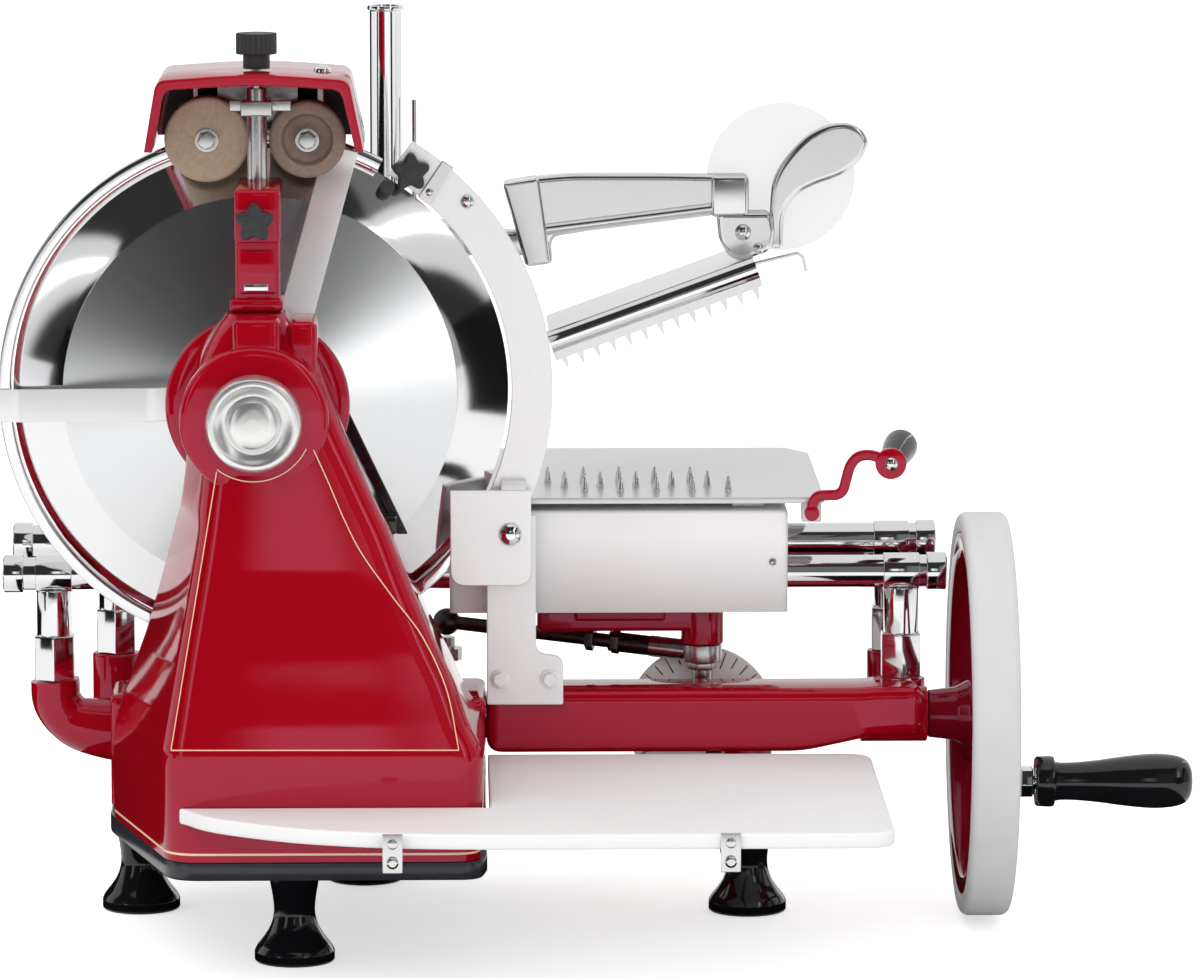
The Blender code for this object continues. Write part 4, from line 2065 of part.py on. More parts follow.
def make_release_lever():
    pivot = LEVER_PIVOT
    ring = (LEVER_RING_X, LEVER_RING_HEIGHT)
    rise = ring[1] - pivot[1]
    run = ring[0] - pivot[0]
    path = [
        pivot,
        (pivot[0] + run * 0.18, pivot[1] + rise * 0.12),
        (pivot[0] + run * 0.38, pivot[1] + rise * 0.20),
        (pivot[0] + run * 0.46, pivot[1] + rise * 0.75),
        (pivot[0] + run * 0.60, pivot[1] + rise),
        ring,
    ]
    outline = wide_line(path, LEVER_BAR)
    at = (pivot[0], LEVER_Y, pivot[1])
    lever = plate("release_lever", outline, LEVER_THICKNESS, "Y", LEVER_Y, "enamel", at=at)
    front = LEVER_Y - LEVER_THICKNESS / 2
    eyes = [
        cylinder(f"lever_eye_{i}", radius, (x, front + GAP * i, z), LEVER_THICKNESS - GAP * i * 2, "Y")
        for i, (radius, (x, z)) in enumerate(((LEVER_EYE_RADIUS, pivot), (LEVER_RING_RADIUS, ring)))
    ]
    pin = cylinder(
        "lever_pin", LEVER_PIN_RADIUS, (pivot[0], LEVER_Y, pivot[1]), LEVER_LUG, "Y", steps=COARSE_STEPS
    )
    way = Vector(LEVER_GRIP_LEAN_SHARES).normalized()
    turn = way.to_track_quat("Z", "Y").to_euler()
    start = Vector((ring[0], LEVER_Y, ring[1]))
    post = cylinder("grip_post", LEVER_PIN_RADIUS, start, LEVER_GRIP_LENGTH * 0.7, "Z", steps=COARSE_STEPS)
    post.rotation_euler = turn
    combine(lever, [*eyes, pin, post])
    bore = LEVER_PIN_RADIUS + GAP
    length = LEVER_GRIP_LENGTH
    seat = LEVER_THICKNESS
    r = LEVER_GRIP_RADIUS
    grip = turned(
        "lever_grip",
        [
            (0, seat + length),
            (r * 0.7, seat + length),
            (r, seat + length * 0.88),
            (r * 0.92, seat + length * 0.5),
            (r * 0.72, seat + length * 0.12),
            (r * 0.72, seat),
            (bore, seat),
            (bore, length * 0.75),
            (0, length * 0.75),
        ],
        start,
        "Z",
        "knob",
        COARSE_STEPS + COARSE_STEPS // 4,
    )
    grip.rotation_euler = turn
    return grip


def plate_height(x):
    """The middle of the slanted press plate, at an x."""
    share = (x - PRESS_PLATE_LOW[0]) / (PRESS_PLATE_HIGH[0] - PRESS_PLATE_LOW[0])
    return PRESS_PLATE_LOW[1] + (PRESS_PLATE_HIGH[1] - PRESS_PLATE_LOW[1]) * share


def make_press():
    base = TABLE_TOP + GAP
    r = PRESS_POST_RADIUS
    post = turned(
        "press_post",
        [
            (0, PRESS_POST_TOP - PRESS_POST_RIM * 3),
            (r - PRESS_POST_RIM, PRESS_POST_TOP - PRESS_POST_RIM * 3),
            (r - PRESS_POST_RIM, PRESS_POST_TOP),
            (r + PRESS_POST_RIM, PRESS_POST_TOP),
            (r + PRESS_POST_RIM, PRESS_POST_TOP - PRESS_POST_RIM * 2),
            (r, PRESS_POST_TOP - PRESS_POST_RIM * 2),
            (r, base + POST_FLANGE),
            (r * POST_FLANGE_SHARE, base + POST_FLANGE),
            (r * POST_FLANGE_SHARE, base),
            (0, base),
        ],
        (POST_X, POST_Y, 0),
        "Z",
        "chrome",
    )
    guide = cylinder(
        "guide_wire",
        GUIDE_RADIUS,
        (POST_X + GUIDE_OFFSET, POST_Y, base + POST_FLANGE / 2),
        GUIDE_TOP - base - POST_FLANGE / 2,
        "Z",
        steps=COARSE_STEPS,
    )
    guide_foot = block(
        "guide_foot",
        (POST_X, POST_Y - r / 2, base + GAP),
        (POST_X + GUIDE_OFFSET + GUIDE_RADIUS * 2, POST_Y + r / 2, base + POST_FLANGE - GAP),
    )
    combine(post, [guide, guide_foot])

    outer = r + GAP + CARRIER_WALL
    x, z = PRESS_HINGE
    back = PRESS_Y + PRESS_ARM_DEPTH / 2 + GAP * 2
    carrier = cylinder("press_carrier", outer, (POST_X, POST_Y, CARRIER_BOTTOM), CARRIER_HEIGHT, "Z", "chrome")
    limb = block(
        "carrier_limb",
        (POST_X, back, z - HINGE_EYE_RADIUS * 0.7),
        (x, back + PRESS_ARM_DEPTH * 0.7, z + HINGE_EYE_RADIUS * 0.7),
    )
    knuckle = cylinder("carrier_knuckle", HINGE_EYE_RADIUS, (x, back, z), PRESS_ARM_DEPTH * 0.7, "Y")
    web = block(
        "carrier_web",
        (POST_X, back + PRESS_ARM_DEPTH * 0.3, z - HINGE_EYE_RADIUS * 0.6),
        (POST_X + outer * 1.2, POST_Y, z + HINGE_EYE_RADIUS * 0.6),
    )
    hinge_pin = cylinder(
        "hinge_pin",
        HINGE_PIN_RADIUS,
        (x, PRESS_Y - PRESS_ARM_DEPTH / 2 - GAP, z),
        PRESS_ARM_DEPTH + PRESS_ARM_DEPTH * 0.4,
        "Y",
        steps=COARSE_STEPS,
    )
    combine(carrier, [limb, knuckle, web, hinge_pin])
    post_bore = cylinder(
        "post_bore", r + GAP, (POST_X, POST_Y, CARRIER_BOTTOM - OVERRUN), CARRIER_HEIGHT + OVERRUN * 2, "Z"
    )
    guide_bore = cylinder(
        "guide_bore",
        GUIDE_RADIUS + ROD_CLEARANCE / 2,
        (POST_X + GUIDE_OFFSET, POST_Y, CARRIER_BOTTOM - OVERRUN),
        CARRIER_HEIGHT + OVERRUN * 2,
        "Z",
        steps=COARSE_STEPS,
    )
    cut(carrier, [post_bore, guide_bore])

    arm = plate(
        "press_arm", list(PRESS_ARM_OUTLINE), PRESS_ARM_DEPTH, "Y", PRESS_Y, "chrome", at=(x, PRESS_Y, z)
    )
    bar = block(
        "arm_bar",
        (x, PRESS_Y - PRESS_ARM_DEPTH * 0.4, z - HINGE_EYE_RADIUS * 0.65),
        (PRESS_BAR_END, PRESS_Y + PRESS_ARM_DEPTH * 0.4, z + HINGE_EYE_RADIUS * 0.65),
    )
    eye = cylinder(
        "arm_eye", HINGE_EYE_RADIUS, (x, PRESS_Y - PRESS_ARM_DEPTH / 2, z), PRESS_ARM_DEPTH, "Y"
    )
    clamp_left, clamp_right = PRESS_CLAMP_XS
    lift = PRESS_PLATE_THICKNESS / 2 * 1.1 + GAP
    clamp = plate(
        "press_clamp",
        [
            (clamp_left, plate_height(clamp_left) + lift),
            (clamp_left + (clamp_right - clamp_left) * 0.5, plate_height((clamp_left + clamp_right) / 2) + lift),
            (clamp_right, plate_height(clamp_right) + lift),
            (clamp_right, PRESS_CLAMP_TOP),
            (clamp_left, PRESS_CLAMP_TOP),
        ],
        PRESS_ARM_DEPTH * 0.94,
        "Y",
        PRESS_Y,
    )
    combine(arm, [bar, eye, clamp])
    eye_bore = cylinder(
        "arm_eye_bore",
        HINGE_PIN_RADIUS + GAP,
        (x, PRESS_Y - PRESS_ARM_DEPTH, z),
        PRESS_ARM_DEPTH * 2,
        "Y",
        steps=COARSE_STEPS,
    )
    cut(arm, [eye_bore])

    thick = PRESS_PLATE_THICKNESS / 2
    low_x, high_x = PRESS_PLATE_LOW[0], PRESS_PLATE_HIGH[0]
    outline = [
        (low_x, PRESS_PLATE_LOW[1] - thick),
        (high_x, PRESS_PLATE_HIGH[1] - thick),
        (high_x, PRESS_PLATE_HIGH[1] + thick),
        (low_x, PRESS_PLATE_LOW[1] + thick),
    ]
    depth = PRESS_PLATE_BACK - PRESS_PLATE_FRONT
    plate("press_plate", outline, depth, "Y", (PRESS_PLATE_BACK + PRESS_PLATE_FRONT) / 2, "pale_steel")

    roll_y = PRESS_PLATE_FRONT - PRESS_ROLL_RADIUS - GAP
    start = Vector((low_x, roll_y, plate_height(low_x)))
    end = Vector((high_x, roll_y, plate_height(high_x)))
    way = end - start
    outline = [(start.x, start.z), (end.x, end.z)]
    down = Vector((way.z, 0, -way.x)).normalized()
    root_line = start + down * (PRESS_ROLL_RADIUS + COMB_TOOTH_DEPTH * 0.8)
    tip_line = start + down * (PRESS_ROLL_RADIUS + COMB_TOOTH_DEPTH * 2)
    points = [(start.x, start.z), (end.x, end.z)]
    for i in range(COMB_TEETH, 0, -1):
        for share, line in ((i, root_line), (i - 0.5, tip_line)):
            point = line + way * share / COMB_TEETH
            points.append((point.x, point.z))
    points.append((root_line.x, root_line.z))
    comb = plate("press_comb", points, COMB_THICKNESS, "Y", roll_y, "steel")
    roll = tube("comb_roll", [start, end], PRESS_ROLL_RADIUS, sides=4)
    combine(comb, [roll])

    back_y = PRESS_Y + PRESS_ARM_DEPTH / 2 + GAP
    turned(
        "hand_guard",
        [
            (0, GUARD_DISC_THICKNESS),
            (GUARD_DISC_RADIUS, GUARD_DISC_THICKNESS),
            (GUARD_DISC_RADIUS, 0),
            (0, 0),
        ],
        (GUARD_DISC_X, back_y, GUARD_DISC_HEIGHT),
        "Y",
        "clear",
        FINE_STEPS,
    )
    paddle_y = PRESS_Y - PRESS_ARM_DEPTH / 6
    plate("press_handle", list(PADDLE_OUTLINE), PADDLE_THICKNESS, "Y", paddle_y, "chrome")


def make_tray():
    right = BASE_RIGHT + TRAY_CLEARANCE
    front = -BASE_FRONT - TRAY_CLEARANCE
    corners = [
        (TRAY_TIP_X, front),
        (TRAY_TIP_X * 0.15, -TRAY_FRONT + (TRAY_FRONT + front) * 0.5),
        (TRAY_CURVE_X, -TRAY_FRONT),
        (TRAY_RIGHT, -TRAY_FRONT),
        (TRAY_RIGHT, -BEAM_FRONT - TRAY_CLEARANCE),
        (right, -BEAM_FRONT - TRAY_CLEARANCE),
        (right, front),
    ]
    outline = rounded(corners, (0, TRAY_CORNER, TRAY_CORNER, TRAY_CORNER, TRAY_CORNER, 0, 0))
    plate("tray_board", outline, TRAY_THICKNESS, "Z", TRAY_TOP - TRAY_THICKNESS / 2, "white")
    bar_top = TRAY_TOP - TRAY_THICKNESS - GAP
    for side, x in zip(("left", "right"), CLIP_XS):
        clip = block(
            f"tray_clip_{side}",
            (x - CLIP_WIDTH / 2, -TRAY_FRONT - GAP - CLIP_THICKNESS, CLIP_BOTTOM),
            (x + CLIP_WIDTH / 2, -TRAY_FRONT - GAP, CLIP_TOP),
            "chrome",
        )
        back = -BASE_FRONT - GAP if side == "left" else BEAM_FRONT * 6
        bar = block(
            f"clip_bar_{side}",
            (x - CLIP_WIDTH / 2 + GAP, -TRAY_FRONT - CLIP_THICKNESS / 2, bar_top - CLIP_BAR),
            (x + CLIP_WIDTH / 2 - GAP, back, bar_top),
        )
        heads = [
            cylinder(
                f"clip_head_{side}_{i}",
                CLIP_HEAD_RADIUS,
                (x, -TRAY_FRONT - GAP - CLIP_THICKNESS / 2, CLIP_BOTTOM + (CLIP_TOP - CLIP_BOTTOM) * share),
                CLIP_THICKNESS * 1.4,
                "-Y",
                steps=COARSE_STEPS,
            )
            for i, share in enumerate(CLIP_HEAD_SHARES)
        ]
        extra = []
        if side == "right":
            extra = [
                block(
                    "clip_riser",
                    (x - CLIP_WIDTH / 2 + GAP * 2, BEAM_FRONT, bar_top - CLIP_BAR + GAP),
                    (x + CLIP_WIDTH / 2 - GAP * 2, back - GAP, BEAM_BOTTOM - GAP),
                )
            ]
        combine(clip, [bar, *heads, *extra])


def make_dial():
    centre = (DIAL_X, DIAL_HEIGHT)
    plate(
        "thickness_dial",
        ring_outline(centre, DIAL_RADIUS, FINE_STEPS),
        DIAL_THICKNESS,
        "Y",
        DIAL_FRONT + DIAL_THICKNESS / 2,
        "white",
        [ring_outline(centre, DIAL_STUD_RADIUS + GAP, COARSE_STEPS)],
        (DIAL_X, DIAL_FRONT, DIAL_HEIGHT),
    )


def settle_origin():
    """Moves everything, so that the origin is the middle of the bottom of the machine's box."""
    bpy.context.view_layer.update()
    graph = bpy.context.evaluated_depsgraph_get()
    low = Vector((math.inf,) * 3)
    high = -low
    for obj in PIECES.objects:
        evaluated = obj.evaluated_get(graph)
        for vertex in evaluated.data.vertices:
            point = evaluated.matrix_world @ vertex.co
            low = Vector(map(min, low, point))
            high = Vector(map(max, high, point))
    shift = Vector(((low.x + high.x) / 2, (low.y + high.y) / 2, low.z))
    for obj in (*PIECES.objects, *CUTTERS.objects):
        obj.location = obj.location - shift
    return shift


make_base()
make_plinth_and_feet()
make_posts()
make_rods()
make_beams()
make_drive_train()
make_connecting_rod()
make_flywheel()
make_hub_and_blade()
make_ring_guard()
make_gauge()
make_deflector()
make_upper_arm()
make_sharpener()
make_carriage()
make_table()
make_release_lever()
make_press()
make_tray()
make_dial()
SHIFT = settle_origin()
print("machine frame moved by", tuple(round(v, 5) for v in SHIFT))
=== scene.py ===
"""Looks for the hand crank meat slicer: smooth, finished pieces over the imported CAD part.

Everything is laid out in the machine's own frame, in millimetres: X = 0 is the blade's axis, Y = 0 its
cutting plane, Z = 0 the surface that the feet stand on, +X to the flywheel and +Y away from the operator's
side. fit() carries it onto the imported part, in metres. The sizes in the materials, the stage and the camera
are in metres from the start.
"""
import json
import math

import bmesh
import bpy
import numpy as np
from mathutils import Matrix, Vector


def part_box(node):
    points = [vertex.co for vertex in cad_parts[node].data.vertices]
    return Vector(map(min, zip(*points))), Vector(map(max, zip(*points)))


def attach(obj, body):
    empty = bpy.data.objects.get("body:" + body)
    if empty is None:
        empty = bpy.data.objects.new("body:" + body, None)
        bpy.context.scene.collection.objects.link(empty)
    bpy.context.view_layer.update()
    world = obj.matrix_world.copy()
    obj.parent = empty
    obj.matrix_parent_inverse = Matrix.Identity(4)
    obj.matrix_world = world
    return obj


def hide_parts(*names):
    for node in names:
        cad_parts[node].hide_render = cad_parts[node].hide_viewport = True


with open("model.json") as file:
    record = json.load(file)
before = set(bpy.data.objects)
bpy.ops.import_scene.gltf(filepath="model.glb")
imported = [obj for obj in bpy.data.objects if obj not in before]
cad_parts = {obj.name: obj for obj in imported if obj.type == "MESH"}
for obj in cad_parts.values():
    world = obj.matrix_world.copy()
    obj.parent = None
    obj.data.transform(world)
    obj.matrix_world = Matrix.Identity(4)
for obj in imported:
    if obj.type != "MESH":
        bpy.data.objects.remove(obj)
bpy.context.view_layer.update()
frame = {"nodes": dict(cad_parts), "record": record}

BLADE_LOW, BLADE_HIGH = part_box("blade")
ORIGIN = np.array([(BLADE_LOW[0] + BLADE_HIGH[0]) / 2, BLADE_HIGH[1], 0.0])

MM = 0.001
# Clearance between a bar and what runs on it, height of the blade's axis, and lean of the blade's sheen
GAP = 0.3
AXIS = 332
DISH = 0.3
HUB = (0, 0, AXIS)
WHEEL = np.array([0, 22, 127])
# X of the posts
POST_LEFT_FRONT, POST_LEFT_REAR, POST_RIGHT = -129, -96, 392
# Y, height and radius of each rod
FRONT_ROD = (40, 213, 10)
REAR_ROD = (143, 217, 10.8)
# X and Y of the link pin, and X and height of the dial
LINK = (270.3, 60)
DIAL = (270.6, 112.3)
# X of the two grindstones, and their height
STONES = (-30.4, 29.7)
STONE_HEIGHT = 487
# X and Y of the press post
PRESS_POST = (75, 150)
FEET = {"foot_front": (20.7, -100), "foot_left": (-78, 59), "foot_right": (298, 44), "foot_rear": (60, 146)}
# The camera in metres, and its direction
CAMERA = np.array([0.1175, -4.2, 0.872])
CAMERA_WAY = (145, 6902, -989)
FOCAL_LENGTH = 209.2
# Steps round a turned piece, from the largest to the smallest
FINE = 160
ROUND = 96
BAR = 64
SMALL = 48
TINY = 32
PIN = 24

# Materials


def feed(socket, value):
    """Link an output to the socket, or give the socket a plain value."""
    if isinstance(value, bpy.types.NodeSocket):
        socket.id_data.links.new(value, socket)
    else:
        socket.default_value = value


def add(tree, kind, inputs=(), **settings):
    """A shader node with its settings, and with its inputs fed by name or number."""
    node = tree.nodes.new(f"ShaderNode{kind}")
    for key, value in settings.items():
        setattr(node, key, value)
    for key, value in dict(inputs).items():
        feed(node.inputs[key], value)
    return node


def colour(value):
    """A colour with its alpha, from three shares or from one share of grey."""
    return (*np.broadcast_to(np.array(value, float), 3), 1)


def material(
    name, low, high, rough, size, metallic=0.0, bump=0.0, bump_size=0.001, stretch=(1, 1, 1), **sockets,
):
    """Principled surface: noise of the stated size (m) mixes two colours and two roughnesses."""
    made = bpy.data.materials.new(name)
    made.use_nodes = True
    tree = made.node_tree
    shader = tree.nodes["Principled BSDF"]
    place = add(tree, "TexCoord").outputs["Object"]
    place = add(tree, "Mapping", {"Vector": place, "Scale": stretch}).outputs["Vector"]
    noise = add(tree, "TexNoise", {"Vector": place, "Scale": 1 / size, "Detail": 3}).outputs["Fac"]
    mixed = add(tree, "Mix", {"Factor": noise, "A": colour(low), "B": colour(high)}, data_type="RGBA")
    spread = add(tree, "MapRange", {"Value": noise, "To Min": rough[0], "To Max": rough[1]})
    feed(shader.inputs["Base Color"], mixed.outputs["Result"])
    feed(shader.inputs["Roughness"], spread.outputs["Result"])
    shader.inputs["Metallic"].default_value = metallic
    for key, value in sockets.items():
        shader.inputs[key.replace("_", " ")].default_value = value
    if bump:
        grain = add(tree, "TexNoise", {"Vector": place, "Scale": 1 / bump_size}).outputs["Fac"]
        raised = add(tree, "Bump", {"Distance": bump, "Height": grain})
        feed(shader.inputs["Normal"], raised.outputs["Normal"])
    return made


def brushed_disc(name, low, high, rough, centre):
    """Steel brushed in circles round a level axis: the tangent is (point - centre) x Y, and the normal is -Y
    plus DISH times the direction out from the axis, as on a slightly domed face."""
    made = material(name, low, high, rough, 0.0012, metallic=1.0, Anisotropic=1.0)
    tree = made.node_tree
    shader = tree.nodes["Principled BSDF"]
    noise = next(node for node in tree.nodes if node.type == "TEX_NOISE")

    def vector(operation, *values):
        return add(tree, "VectorMath", enumerate(values), operation=operation).outputs

    def unit(value):
        return vector("NORMALIZE", value)[0]

    def to_world(value, kind):
        """The piece may turn, and the shader reads world directions."""
        return add(
            tree, "VectorTransform", {0: value}, vector_type=kind, convert_from="OBJECT", convert_to="WORLD",
        ).outputs[0]

    offset = vector("SUBTRACT", add(tree, "TexCoord").outputs["Object"], tuple(centre))[0]
    feed(noise.inputs["Vector"], vector("LENGTH", offset)["Value"])
    along = unit(vector("CROSS_PRODUCT", offset, (0, 1, 0))[0])
    outward = unit(vector("MULTIPLY", offset, (1, 0, 1))[0])
    facing = unit(vector("MULTIPLY_ADD", outward, (DISH, DISH, DISH), (0, -1, 0))[0])
    feed(shader.inputs["Tangent"], to_world(along, "VECTOR"))
    feed(shader.inputs["Normal"], to_world(facing, "NORMAL"))
    return made


GLAZE = dict(bump=0.00004, bump_size=0.03, IOR=1.62, Specular_Tint=(1.0, 0.55, 0.85, 1.0))
ENAMEL = material(
    "red enamel", (0.3, 0.0007, 0.006), (0.35, 0.0013, 0.01), (0.04, 0.07), 0.09,
    **GLAZE,
)
BLACK = material(
    "black gloss", (0.004, 0.004, 0.005), (0.007, 0.007, 0.009), (0.08, 0.14), 0.03,
    bump=0.00003, bump_size=0.02, Coat_Weight=0.3, Coat_Roughness=0.05,
)
CHROME = material(
    "mirror chrome", (0.8, 0.81, 0.82), (0.86, 0.86, 0.87), (0.05, 0.09), 0.05, metallic=1.0,
    bump=0.00002, bump_size=0.02,
)
STEEL = material(
    "machined steel", 0.52, (0.66, 0.66, 0.65), (0.2, 0.3), 0.006, metallic=1.0,
    bump=0.00002, bump_size=0.0015,
)
SATIN = material(
    "pale satin steel", 0.86, 0.9, (0.3, 0.36), 0.02, metallic=0.5,
    stretch=(0.2, 1, 1),
)
BEVEL = material(
    "ground blade edge", (0.8, 0.81, 0.82), (0.86, 0.86, 0.87), (0.06, 0.09), 0.03, metallic=1.0,
)
WHITE = material(
    "white enamel", 0.83, 0.86, (0.42, 0.5), 0.05,
    bump=0.00001, bump_size=0.01,
)
GRIT = material(
    "brown bonded grit", (0.33, 0.245, 0.175), (0.5, 0.395, 0.295), (0.85, 0.95), 0.0022,
    bump=0.00035, bump_size=0.0009,
)
GREY = material(
    "dark grey plastic", (0.018, 0.02, 0.021), (0.032, 0.035, 0.036), (0.42, 0.55), 0.004,
    bump=0.00003, bump_size=0.0008,
)
CLEAR = material(
    "pale translucent plastic", (0.42, 0.43, 0.45), (0.46, 0.47, 0.49), (0.28, 0.34), 0.05, Alpha=0.3,
)
CREAM = material(
    "cream lining", (0.8, 0.58, 0.36), (0.86, 0.64, 0.42), (0.25, 0.32), 0.01,
)
# A near-black sheet for the inside of the hood: painted shade, where the hood's inside is in shadow.
HOOD_SHADE = material(
    "painted shade sheet", (0.014, 0.006, 0.007), (0.02, 0.009, 0.01), (0.35, 0.45), 0.02,
)
SATIN_CHROME = material(
    "satin chrome", (0.8, 0.8, 0.79), (0.86, 0.86, 0.85), (0.26, 0.32), 0.01, metallic=0.9,
)
POLISHED = material("polished plate", 0.87, 0.91, (0.26, 0.32), 0.04, metallic=0.55)
PALE = material("pale painted steel", 0.87, 0.9, (0.36, 0.44), 0.03)
CAST = material(
    "cast polished aluminium", 0.72, 0.8, (0.15, 0.23), 0.03, metallic=1.0, bump=0.00003, bump_size=0.012,
)
TABLE = material("rolled stainless", 0.66, 0.73, (0.26, 0.34), 0.02, metallic=0.6, stretch=(0.15, 1, 1))
TYRE = material("white tyre rubber", 0.6, 0.66, (0.45, 0.55), 0.02, bump=0.00002, bump_size=0.003)
# The wheel's copy of the red enamel, darker than ENAMEL: painted shade for the wheel's shaded inside and hub.
SHADED_WHEEL_RED = material(
    "red enamel darkened as painted shade", (0.13, 0.001, 0.006), (0.165, 0.0018, 0.009), (0.06, 0.1), 0.06,
    **GLAZE,
)
# The base band's own dark paint, lifted and tinted blue as a painted reflection of its glossy face.
BAND_BLACK_WITH_REFLECTION = material("black paint with painted blue reflection", (0.024, 0.024, 0.031), (0.029, 0.029, 0.037), (0.16, 0.24), 0.03)
GRIT_GREY = material(
    "grey brown grit", (0.2, 0.145, 0.11), (0.36, 0.275, 0.22), (0.85, 0.95), 0.0024, bump=0.00045,
    bump_size=0.0011,
)
DARK_STEEL = material(
    "blackened steel", (0.06, 0.055, 0.055), (0.12, 0.11, 0.11), (0.25, 0.38), 0.006, metallic=1.0,
    bump=0.00003, bump_size=0.002,
)
BRUSHED = brushed_disc(
    "brushed blade", (0.72, 0.73, 0.74), (0.82, 0.83, 0.84), (0.15, 0.18), ORIGIN + np.array(HUB) * MM
)

# Surfaces
AXES = {
    "X": ((0, 1, 0), (0, 0, 1), (1, 0, 0)),
    "Y": ((1, 0, 0), (0, 0, 1), (0, 1, 0)),
    "Z": ((1, 0, 0), (0, 1, 0), (0, 0, 1)),
}


def basis(axis):
    """Two unit vectors across an axis, then the axis itself: a letter, or any direction."""
    if isinstance(axis, str):
        return (np.array(v, float) for v in AXES[axis])
    w = np.asarray(axis, float) / np.linalg.norm(axis)
    u = np.cross(w, (0, 1, 0) if abs(w[1]) < 0.9 else (1, 0, 0))
    u /= np.linalg.norm(u)
    return u, np.cross(w, u), w


def eased(points, radius, steps=4, closed=True):
    """A line whose corners P become curves (1-t)^2 A + 2t(1-t) P + t^2 B, A and B radius away from P."""
    p = np.asarray(points, float)
    before, after = np.roll(p, 1, 0) - p, np.roll(p, -1, 0) - p
    long_before = np.linalg.norm(before, axis=1, keepdims=True)
    long_after = np.linalg.norm(after, axis=1, keepdims=True)
    r = np.broadcast_to(np.asarray(radius, float).reshape(-1, 1), (len(p), 1))
    r = np.minimum(r, 0.48 * np.minimum(long_before, long_after))
    t = np.linspace(0, 1, steps + 1)[None, :, None]
    start = (p + before / long_before * r)[:, None]
    end = (p + after / long_after * r)[:, None]
    curve = (1 - t) ** 2 * start + 2 * t * (1 - t) * p[:, None] + t**2 * end
    if closed:
        return curve.reshape(-1, p.shape[1])
    return np.vstack([p[:1], curve[1:-1].reshape(-1, p.shape[1]), p[-1:]])


def curve(points, count=60):
    """A smooth line through the points: Catmull-Rom, with the parameter running by the points' number."""
    p = np.asarray(points, float)
    p = np.vstack([2 * p[0] - p[1], p, 2 * p[-1] - p[-2]])
    s = np.linspace(0, len(p) - 3, count)
    i = np.minimum(s.astype(int), len(p) - 4)
    t = (s - i)[:, None]
    a, b, c, d = p[i], p[i + 1], p[i + 2], p[i + 3]
    return 0.5 * (2 * b + (c - a) * t + (2 * a - 5 * b + 4 * c - d) * t**2 + (3 * b - a - 3 * c + d) * t**3)


def grid(points, caps=True, ends_meet=False):
    """Faces of a surface P(i, j): each ring i is joined to the next, and caps close the end rings."""
    points = np.asarray(points, float)
    n, m = points.shape[:2]
    i = np.arange(n if ends_meet else n - 1)[:, None]
    j = np.arange(m)[None, :]
    up, over = (i + 1) % n, (j + 1) % m
    quads = np.stack([i * m + j, i * m + over, up * m + over, up * m + j], -1).reshape(-1, 4).tolist()
    if caps and not ends_meet:
        quads += [list(range(m))[::-1], list(range((n - 1) * m, n * m))]
    return points.reshape(-1, 3), quads


def turned(profile, centre, axis="Y", steps=ROUND, ease=0.0, closed=False):
    """P(i, a) = centre + r_i (cos a U + sin a V) + h_i W for the profile's pairs (r, h)."""
    p = np.asarray(profile, float)
    if ease:
        p = eased(p, ease, 3, closed)
    u, v, w = basis(axis)
    angle = np.linspace(0, math.tau, steps, endpoint=False)
    ring = np.cos(angle)[:, None] * u + np.sin(angle)[:, None] * v
    points = np.asarray(centre, float) + p[:, 0, None, None] * ring + p[:, 1, None, None] * w
    return grid(points, caps=False, ends_meet=closed)


def drum(radius, low, high, centre, axis="Y", steps=ROUND, ease=0.0):
    """A solid cylinder: the profile (0, low), (r, low), (r, high), (0, high), turned."""
    return turned([(0, low), (radius, low), (radius, high), (0, high)], centre, axis, steps, ease)


def sleeve(bore, radius, low, high, centre, axis="Y", steps=ROUND, ease=0.0):
    """A cylinder with a bore: a rectangle between the two radii and the two levels, turned."""
    profile = [(bore, low), (radius, low), (radius, high), (bore, high)]
    return turned(profile, centre, axis, steps, ease, closed=True)


def rod(radius, centre, length, axis, ease=0.5, steps=48):
    """A round bar from the centre of its first end, with eased rims."""
    return drum(radius, 0, length, centre, axis, steps, ease)


def slab(outline, low, high, axis="Y", ease=0.8):
    """An outline in the plane across the axis carried from low to high: P = outline(i) moved in by
    ease (1 - sin a) at the level ease (1 - cos a) from each face, with a last ring inside the flat face."""
    p = np.asarray(outline, float)
    ahead, back = np.roll(p, -1, 0) - p, p - np.roll(p, 1, 0)
    area = np.sum(p[:, 0] * np.roll(p[:, 1], -1) - np.roll(p[:, 0], -1) * p[:, 1])
    way = ahead / np.linalg.norm(ahead, axis=1, keepdims=True)
    way += back / np.linalg.norm(back, axis=1, keepdims=True)
    way /= np.maximum(np.linalg.norm(way, axis=1, keepdims=True), 1e-9)
    inward = np.stack([-way[:, 1], way[:, 0]], 1) * np.sign(area)
    bend = (back[:, 0] * ahead[:, 1] - back[:, 1] * ahead[:, 0]) * np.sign(area)
    turn = np.maximum(np.arctan2(bend, np.sum(back * ahead, 1)), 1e-6)
    near = np.minimum(np.linalg.norm(ahead, axis=1), np.linalg.norm(back, axis=1)) / turn
    near = np.minimum(near, np.minimum(np.roll(near, 1), np.roll(near, -1)))
    own = np.minimum(ease, 0.6 * near)[None, :, None]
    a = np.linspace(0, math.pi / 2, 4)
    inset = np.concatenate([[1.35], 1 - np.sin(a)])
    level = np.concatenate([[0], ease * (1 - np.cos(a))])
    inset = np.concatenate([inset, inset[::-1]])
    level = np.concatenate([low + level, high - level[::-1]])
    flat = p[None] + inward[None] * inset[:, None, None] * own
    level = np.broadcast_to(level[:, None], flat.shape[:2])
    x, y = flat[..., 0], flat[..., 1]
    order = {"X": (level, x, y), "Y": (x, level, y), "Z": (x, y, level)}[axis]
    return grid(np.stack(order, -1))


